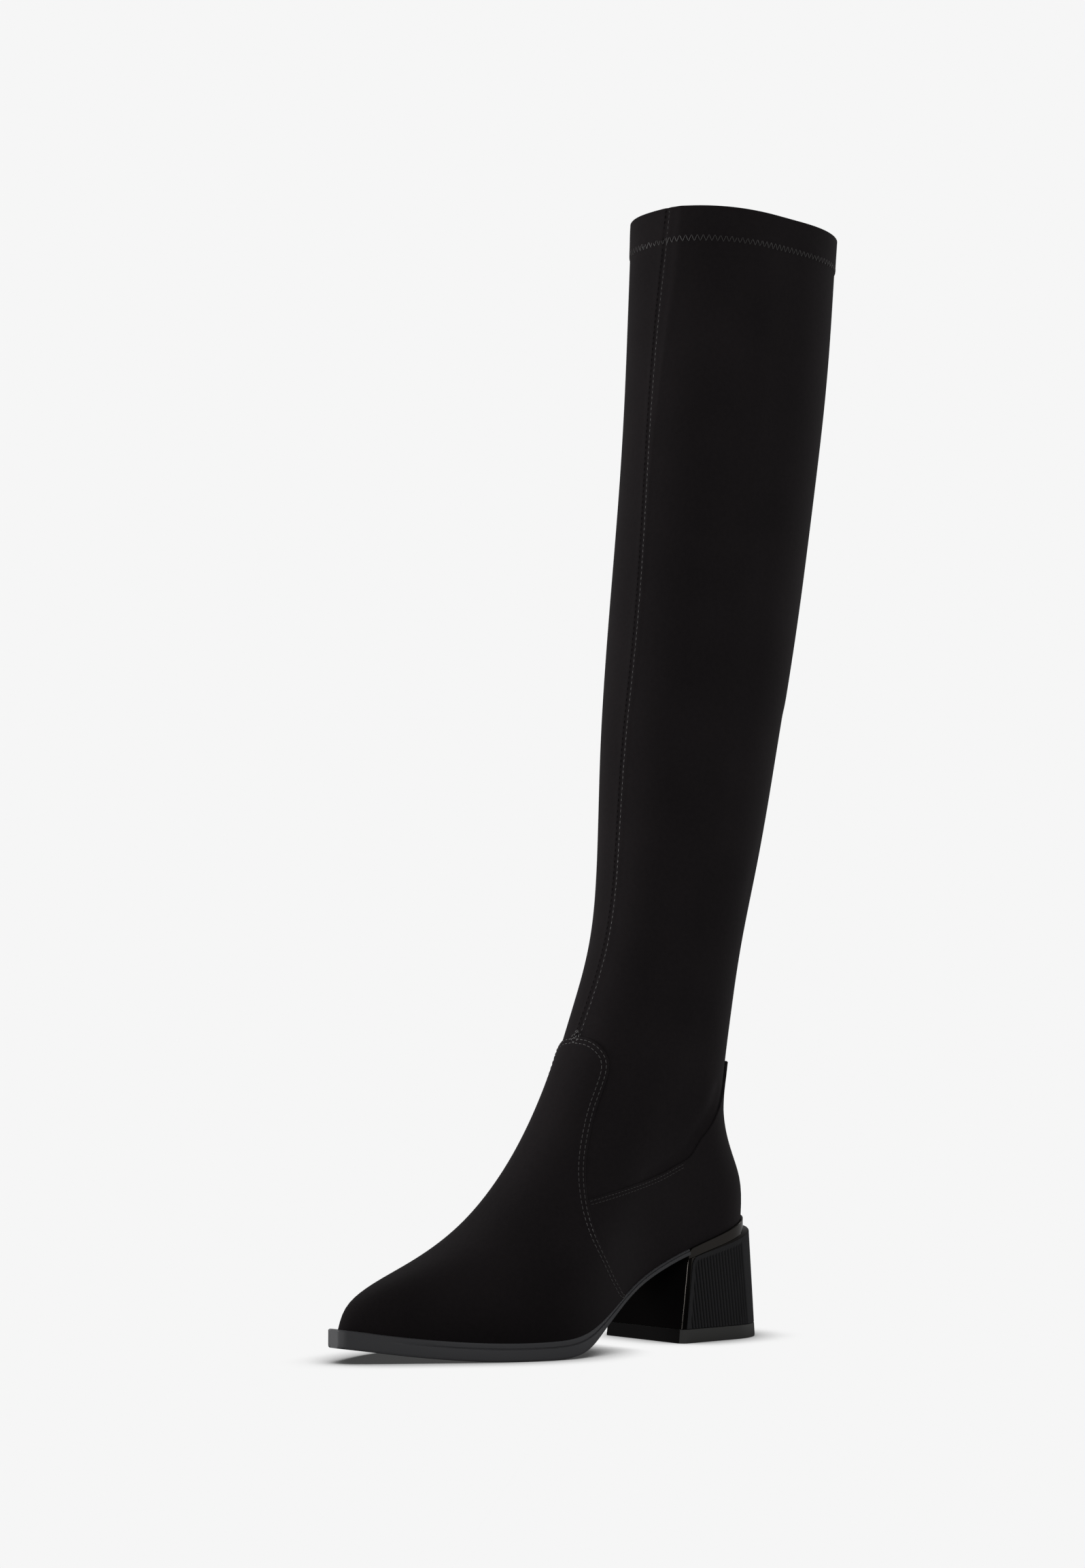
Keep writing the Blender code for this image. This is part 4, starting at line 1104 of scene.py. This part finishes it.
def towards_back(outline):
    """0 at the heel's front and 1 at its back, a power of the way between."""
    return np.clip((SEAT_FRONT - outline[:, 0]) / RISE_REACH, 0, 1) ** RISE_POWER


def rim_bottom(outline):
    """The height of the rim's lower edge, below the seat."""
    return sole_top(outline[:, 0]) - GAP - RIM_HEIGHT + COVER_RISE * towards_back(outline)


def core_height(level, top):
    """Heights at a level of the core, which reaches from the lift up to the top's."""
    rise = (level - CORE_LOW) / (CORE_HIGH - CORE_LOW)
    return (LIFT_HEIGHT + GAP) * (1 - rise) + top * rise


def front_kinds(rings, rows, ends):
    """Materials of a loft's faces: 1 where its first rows of rings close across the front,
    the ends' own at its ends, 0 elsewhere."""
    kinds = np.zeros((len(rings) - 1, rings.shape[1]), int)
    kinds[:rows, -1] = 1
    return [*kinds.ravel(), ends, ends]


def rim_outline(outline, lip):
    """A heel outline drawn in to the upper's own, with a lip round it."""
    share = (SEAT_FRONT - outline[:, 0]) / (SEAT_FRONT - outline[:, 0].min())
    x = SEAT_FRONT + (section("back_x", 0.0) - SEAT_FRONT) * np.clip(share, 0.0, 1.0)
    angle = np.arccos(1.0 - 2.0 * back_share(0.0, x))
    angle = np.where(np.arange(len(outline)) < len(outline) / 2, angle, 2 * math.pi - angle)
    return lifted(0.0, angle, PANEL_TOP + lip)[:, :2]


straight = np.concatenate([
    STRIP_PLAN[:, 0], STRIP_WIDTH + np.array([0.0, 0.08, 0.2, 0.35, 0.5, 0.8, 1.2, 1.7]),
    np.linspace(5.6, 9.6, 9), np.linspace(11.0, STRAIGHT, 9),
])
strip_in = np.interp(straight, *STRIP_PLAN.T) * (straight < STRIP_WIDTH)
levels = np.concatenate([np.linspace(CORE_LOW, 0.74, 9), np.linspace(0.757, CORE_HIGH, 16)])
rings = []
for level in levels:
    flush = heel_outline(level, GAP, straight)
    sunk = heel_outline(level, GAP + COVER_WALL, straight)
    behind = np.clip(straight - STRIP_WIDTH, 0, None)
    below = (CORE_HIGH - level) * HEEL_HEIGHT
    near = np.minimum(behind, below)
    in_corner = (behind < RECESS_CORNER) & (below < RECESS_CORNER)
    bow = RECESS_CORNER - np.hypot(RECESS_CORNER - behind, RECESS_CORNER - below)
    recess = np.clip(np.where(in_corner, bow, near) / RECESS_EDGE, 0, 1)
    depth = strip_in / COVER_WALL + recess
    share = along_sides(depth, len(flush), recess[-1])
    ring = flush + (sunk - flush) * share[:, None]
    ring[: len(depth), 0] = flush[: len(depth), 0]
    ring[-len(depth) :, 0] = flush[-len(depth) :, 0]
    rings.append(np.column_stack([ring, core_height(level, rim_bottom(ring))]))
full = heel_outline(1.0, GAP, straight)
# The rim's front corners are rounded off, and reach forward over the strips.
ahead = np.clip(RIM_CORNER - along_sides(straight, len(full), RIM_CORNER), 0.0, None)
cut_off = corner_cut(RIM_CORNER, ahead)
for lip, above, rise in RIM_RINGS:
    rim = rim_outline(full, lip)
    rim[:, 0] += RIM_REACH * ahead / RIM_CORNER
    raised = (RIM_UP + (RIM_RISE - COVER_RISE) * towards_back(full) - cut_off) * rise
    rings.append(np.column_stack([rim, rim_bottom(full) + above + raised]))
rings = np.array(rings)
plating = principled(
    "black nickel plating on ABS", Metallic=1.0, Roughness=0.10, Base_Color=linear("#4A4744"),
)
# The breast's flat black: partly its own colour, partly painted shade.
black_with_painted_shade = principled(
    "black breast with painted shade", Roughness=0.5, Specular_IOR_Level=0.0,
    Base_Color=linear("#0A0909"),
)
kinds = front_kinds(rings, len(levels), 1)
core = closed_rings("heel_block", rings, (plating, black_with_painted_shade), 24.0, kinds)
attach(core, "boot")
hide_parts("heel_core")

# ---------------------------------------------------------------------------------------
# Heel cover: a shell moulded in matt black rubber, set into the block. Upright flutes run
# parallel round its sides inside a plain border; the middle of the back is plain.

COVER_CORNER, COVER_HEIGHT, COVER_DOWN = RECESS_CORNER - GAP, 62.0, 0.08
FLUTE_PITCH, FLUTE_DEPTH, FLUTE_BORDER, FLUTE_START = 2.1, 0.8, 2.2, 38.0
# How soon a flute's ends, and the flutes beside the plain back, reach their full depth.
FLUTE_END, FLUTE_FADE, FLUTE_AHEAD = 0.5, 0.4, 2.6
# How far a rounded edge draws the face in, at each distance from the edge.
COVER_ROLL = np.array([(0.0, 0.45), (0.12, 0.22), (0.35, 0.06), (0.6, 0.0)])

straight = STRIP_WIDTH + GAP + np.concatenate([
    COVER_ROLL[:, 0], np.linspace(1.0, STRAIGHT - STRIP_WIDTH - GAP, 130)
])
corner = np.clip(COVER_CORNER - (straight - STRIP_WIDTH - GAP), 0.0, None)
drop = corner_cut(COVER_CORNER, corner)
levels = np.concatenate([
    np.linspace(CORE_LOW, CORE_HIGH - 0.02, 40),
    CORE_HIGH - COVER_ROLL[::-1, 0] / COVER_HEIGHT,
])
rings, painted_groove_shade = [], []
for level in levels:
    face = heel_outline(level, 0.0, straight, 90)
    step_in = heel_outline(level, 1.0, straight, 90) - face
    back_face = heel_outline(level, COVER_WALL, straight, 90)
    edge_z = rim_bottom(face) - COVER_DOWN - along_sides(drop, len(face), 0.0)
    z = core_height(level, edge_z)
    far = length_along(face)
    from_back = np.abs(far - far[-1] / 2)
    from_edge = np.minimum(far[-1] / 2 - from_back, edge_z - z)
    flute = 1.0 - np.abs(np.sin(math.pi * (from_back - FLUTE_START) / FLUTE_PITCH))
    flute *= np.clip((from_edge - FLUTE_BORDER) / FLUTE_END, 0, 1)
    flute *= np.clip((from_back - FLUTE_START) / FLUTE_FADE + FLUTE_AHEAD, 0, 1)
    draw_in = FLUTE_DEPTH * flute + np.interp(from_edge, *COVER_ROLL.T)
    face = face + step_in * draw_in[:, None]
    both = np.concatenate([face, back_face[::-1]])
    rings.append(np.column_stack([both, np.concatenate([z, z[::-1]])]))
    painted_groove_shade.append(np.concatenate([flute, 0 * flute]))
cover_rubber = principled(
    "matt black moulded rubber", Roughness=0.75, Specular_IOR_Level=0.08,
)
tree = cover_rubber.node_tree
# Painted shade: the grooves of the flutes are coloured near black by their depth.
groove = node(tree, "Attribute", settings={"attribute_name": "groove"})
colour = node(
    tree, "Mix", groove.outputs["Fac"], settings={"data_type": "RGBA"},
    _6=linear("#282829"), _7=linear("#050505"),
)
feed(cover_rubber, Base_Color=colour.outputs[2])
cover = closed_rings("heel_cover_fluted", np.array(rings), (cover_rubber,), sharp=35.0)
groove_shade_attribute = cover.data.attributes.new("groove", "FLOAT", "POINT")
groove_shade_attribute.data.foreach_set("value", np.concatenate(painted_groove_shade).astype(np.float32))
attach(cover, "boot")
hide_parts("heel_cover")

# ---------------------------------------------------------------------------------------
# Top lift: the hard rubber plate that the heel walks on, its front corners cut off. Its
# front face is painted near black together with the breast: painted shade.

LIFT_CHAMFER = 2.6
# The height of each ring up its side, and how far its rounded edges are drawn in there.
LIFT_RINGS = ((0.0, 0.7), (0.2, 0.2), (0.7, 0.0), (6.55, 0.0), (6.85, 0.12), (7.0, 0.4))
rings = []
straight = np.concatenate([[0.0, LIFT_CHAMFER], np.linspace(4.0, STRAIGHT, 10)])
for height, inset in LIFT_RINGS:
    outline = heel_outline(height / HEEL_HEIGHT, inset, straight)
    outline[0, 1] -= LIFT_CHAMFER
    outline[-1, 1] += LIFT_CHAMFER
    rings.append(np.column_stack([outline, np.full(len(outline), height)]))
lift_rubber = principled(
    "hard black rubber", Roughness=0.6, Specular_IOR_Level=0.12, Base_Color=linear("#3A3A39"),
)
# Painted shade: the near-black colour of the lift's front face.
lift_front_shade = principled(
    "painted shade on the lift's front", Roughness=0.7, Specular_IOR_Level=0.02,
    Base_Color=linear("#0C0B0B"),
)
rings = np.array(rings)
kinds = front_kinds(rings, len(rings), 0)
lift = closed_rings("top_lift_rubber", rings, (lift_rubber, lift_front_shade), 30.0, kinds)
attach(lift, "boot")
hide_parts("top_lift")

# ---------------------------------------------------------------------------------------
# Zip: a nylon coil zip up the inner side, closed. Woven tape lies under the cloth, whose
# two turned edges leave the coil open to view, and a row of stitches runs down each side.

ZIP_BOTTOM, ZIP_TOP = 0.004, 0.455
ZIP_STEPS = 260
TAPE_LIFT, TAPE_UNDER, TEETH_TOP = 0.62, 0.05, 2.3
FACING_NEAR, FACING_FAR, FACING_UNDER = 3.3, 9.6, 0.08
COIL_PITCH, COIL_REACH, COIL_WIRE = 1.5, 2.2, 0.42
COIL_IN, COIL_OUTER_DOWN, COIL_INNER_DOWN = 0.5, 1.25, 1.05
GUIDE_STITCHED, GUIDE_LIFT, GUIDE_STITCH = 8.3, 0.62, (2.9, 2.0)
# The edge of cloth beside the coil: share of the way from near to far, and height there.
FACING = np.array([
    (0.0, 0.75), (0.03, 1.15), (0.10, 1.32), (0.22, 1.35), (0.45, 1.2), (0.7, 0.9),
    (0.9, 0.5), (1.0, 0.12),
])
TWILL, MIDDLE_STEPS = 0.0007, 12


def zip_middle(t):
    """The angle at which the zip's middle line crosses each ring, found by coming closer."""
    angle = np.full(np.shape(t), 1.5 * math.pi)
    for _ in range(MIDDLE_STEPS):
        line_x = column_at(ZIP_LINE, 1, skin(t, angle)[..., 2])
        angle = 2 * math.pi - np.arccos(1.0 - 2.0 * back_share(t, line_x))
    return angle


zip_t = np.linspace(ZIP_BOTTOM, ZIP_TOP, ZIP_STEPS)
zip_angle = zip_middle(zip_t)


def zip_strip(name, profile, materials):
    """A strip along the zip. The profile is a closed outline of across and lift."""
    rings = [lifted(*beside(zip_t, zip_angle, across), lift) for across, lift in profile]
    made = closed_rings(name, np.stack(rings, axis=1), materials, sharp=50.0)
    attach(made, "boot")
    return made


weave = principled(
    "woven polyester tape", Roughness=0.85, Specular_IOR_Level=0.15,
    Base_Color=linear("#1A1919"),
)
tree = weave.node_tree
place = node(tree, "TexCoord").outputs["Object"]
twill = node(tree, "TexWave", Vector=place, Scale=1 / TWILL / WAVE_TURN)
bump = node(tree, "Bump", Height=twill.outputs["Fac"], Strength=0.5, Distance=0.0001)
feed(weave, Normal=bump.outputs[0])

tape_profile = [(a, TAPE_UNDER) for a in (-6.8, -3.5, 0.0, 3.5, 6.8)]
tape_profile += [(a, TAPE_LIFT) for a in (6.7, 3.5, 0.0, -3.5, -6.7)]
tape = zip_strip("zip_tape_woven", tape_profile, (weave,))
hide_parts("zip_tape")

across = FACING_NEAR + (FACING_FAR - FACING_NEAR) * FACING[:, 0]
for side, name in ((1, "zip_facing_front"), (-1, "zip_facing_back")):
    profile = [(side * a, h) for a, h in zip(across, FACING[:, 1])]
    profile += [(side * a, FACING_UNDER) for a in across[::-1]]
    zip_strip(name, profile, (suede,))

nylon = principled(
    "black nylon coil", Roughness=0.35, Specular_IOR_Level=0.5, Base_Color=linear("#2B2B2C"),
)
far = length_along(skin(zip_t, zip_angle))
rows = []
for side in (-1, 1):
    at = np.arange(1.0 + (side > 0) * COIL_PITCH / 2, far[-1] - 1.0, COIL_PITCH)
    t = np.interp(at, far, zip_t)
    angle = np.interp(t, zip_t, zip_angle)
    rows.append((
        lifted(*beside(t, angle, side * COIL_REACH), TEETH_TOP - COIL_OUTER_DOWN),
        lifted(*beside(t, angle, -side * COIL_IN), TEETH_TOP - COIL_INNER_DOWN),
        skin_normal(t, angle),
    ))
coil = stitching("zip_coil", rows, COIL_WIRE)
coil.data.materials[0] = nylon
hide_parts("zip_teeth")

rows = [
    stitch_row(*beside(zip_t, zip_angle, away), GUIDE_LIFT, *GUIDE_STITCH)
    for away in (-GUIDE_STITCHED, GUIDE_STITCHED)
]
stitching("zip_guide_stitches", rows)

# ---------------------------------------------------------------------------------------
# Zip slider, its pull and the zip's stops: cast zinc, plated in black nickel. The slider's
# body rides on the coil below a bridge, and the pull is a flat tab with an eye round it.

SLIDER_DOWN, PIN_LIFT = 0.012, 5.4
# Outlines in the zip's own axes. The body: half width and place up the zip of its top.
SLIDER_BODY = np.array([
    (2.2, -5.5), (2.9, -5.0), (2.9, -1.5), (3.6, 1.2), (3.6, 3.4), (3.1, 4.9), (2.2, 5.5),
    (0.7, 5.5), (0.0, 4.6),
])
# How far out each layer of the body lies, and how far it is drawn in.
BODY_LAYERS = (
    (-4.0, 0.7), (-3.7, 0.45), (-2.6, 0.3), (-2.3, 0.05), (-1.55, 0.0), (-1.25, 0.12),
    (-1.1, 0.45),
)
BRIDGE = np.array([
    # out and up of the bridge's middle line
    (-1.6, -3.0), (-0.4, -2.95), (0.55, -2.7), (1.15, -2.1), (1.45, -1.2), (1.5, 0.0),
    (1.45, 1.2), (1.15, 2.1), (0.55, 2.7), (-0.4, 2.95), (-1.6, 3.0),
])
PULL_SIDE = np.array([
    # half width and place up the zip of the tab's outline, from its top to its foot
    (0.0, 0.55), (1.7, 0.5), (2.3, 0.1), (2.55, -0.7), (2.65, -4.2), (2.45, -8.0),
    (2.6, -14.0), (2.6, -21.6), (2.25, -22.9), (1.4, -23.7), (0.0, -24.0),
])
PULL_EYE = np.array([
    # the same of its eye, round the pin
    (0.0, -0.55), (1.2, -0.55), (1.6, -0.8), (1.7, -1.4), (1.7, -3.6), (1.5, -4.3),
    (1.0, -4.6), (0.0, -4.6),
])
PULL_HALF, PULL_EDGE = 0.55, 0.14
BRIDGE_HALF, BRIDGE_THICK = 1.1, 0.4
STOP_DOWN, STOP_UP, STOP_THICK = -3.6, 6.4, 0.75

pin_t = np.array([ZIP_TOP - SLIDER_DOWN])
pin_angle = zip_middle(pin_t)
pin_out = skin_normal(pin_t, pin_angle)[0]
pin = lifted(pin_t, pin_angle, PIN_LIFT)[0]
ends = [skin(pin_t + step, zip_middle(pin_t + step))[0] for step in (1e-3, -1e-3)]
pin_up = ends[0] - ends[1]
pin_up = unit(pin_up - np.dot(pin_up, pin_out) * pin_out)
pin_across = np.cross(pin_out, pin_up)


def zip_axes(points):
    """Across, out and up from the pull's pin as the shoemaker's axes."""
    across, out, up = np.moveaxis(np.asarray(points, float), -1, 0)
    parts = ((across, pin_across), (out, pin_out), (up, pin_up))
    return pin + sum(value[..., None] * way for value, way in parts)


def both_sides(outline):
    """A closed outline from its right half, which starts and ends near the middle."""
    left = outline[::-1] * (-1, 1)
    return np.concatenate([outline, left[np.abs(left[:, 0]) > 0.01]])


def drawn_in(outline, by):
    """A closed outline moved by its inward normals. Its points run clockwise."""
    way = np.roll(outline, -1, 0) - np.roll(outline, 1, 0)
    inward = np.stack([way[:, 1], -way[:, 0]], axis=1)
    return outline + by * inward / np.linalg.norm(inward, axis=1, keepdims=True)


def flat_ring(outline, by, out):
    """An outline drawn in and laid flat, so far out from the pin."""
    across, up = drawn_in(outline, by).T
    return np.column_stack([across, np.full(len(outline), out), up])


rings = [flat_ring(both_sides(SLIDER_BODY), inset, out) for out, inset in BODY_LAYERS]
body = closed_rings("zip_slider_body", zip_axes(rings), (plating,))
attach(body, "boot")
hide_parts("zip_slider")

line = along(BRIDGE, 33)
way = unit(np.gradient(line, axis=0))
outward = np.stack([way[:, 1], -way[:, 0]], axis=1)
turn = np.linspace(0, 2 * math.pi, 16, endpoint=False)
section_across = BRIDGE_HALF * np.sign(np.cos(turn)) * np.abs(np.cos(turn)) ** 0.5
section_out = BRIDGE_THICK * np.sign(np.sin(turn)) * np.abs(np.sin(turn)) ** 0.5
out_up = line[:, None] + outward[:, None] * section_out[:, None]
across = np.broadcast_to(section_across, out_up.shape[:2])
rings = zip_axes(np.stack([across, out_up[..., 0], out_up[..., 1]], axis=-1))
bridge = closed_rings("zip_slider_bridge", rings, (plating,))
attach(bridge, "boot")

# The tab's rings run from its rim over its back to its eye, and back over its front.
rim, eye = (
    along(np.concatenate([both_sides(half), half[:1]]), 97)[:-1]
    for half in (PULL_SIDE, PULL_EYE)
)
flank = PULL_HALF - PULL_EDGE
over = (
    (rim, 0.0, flank), (rim, PULL_EDGE, PULL_HALF),
    (eye, -PULL_EDGE, PULL_HALF), (eye, 0.0, flank),
)
rings = [flat_ring(line, by, -out) for line, by, out in over]
rings += [flat_ring(line, by, out) for line, by, out in over[::-1]]
quads = grid_faces(len(rings), len(rim), True, True)
pull = piece("zip_pull_tab", zip_axes(rings), quads, (plating,), sharp=35.0)
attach(pull, "pull")
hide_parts("zip_pull")

start, end = (
    zip_axes([(across, STOP_DOWN, STOP_UP) for across in pair])
    for pair in ((-2.4, 0.4), (-0.4, 2.4))
)
stops = stitching("zip_top_stops", [(start, end, np.stack([pin_out, pin_out]))], STOP_THICK)
stops.data.materials[0] = plating
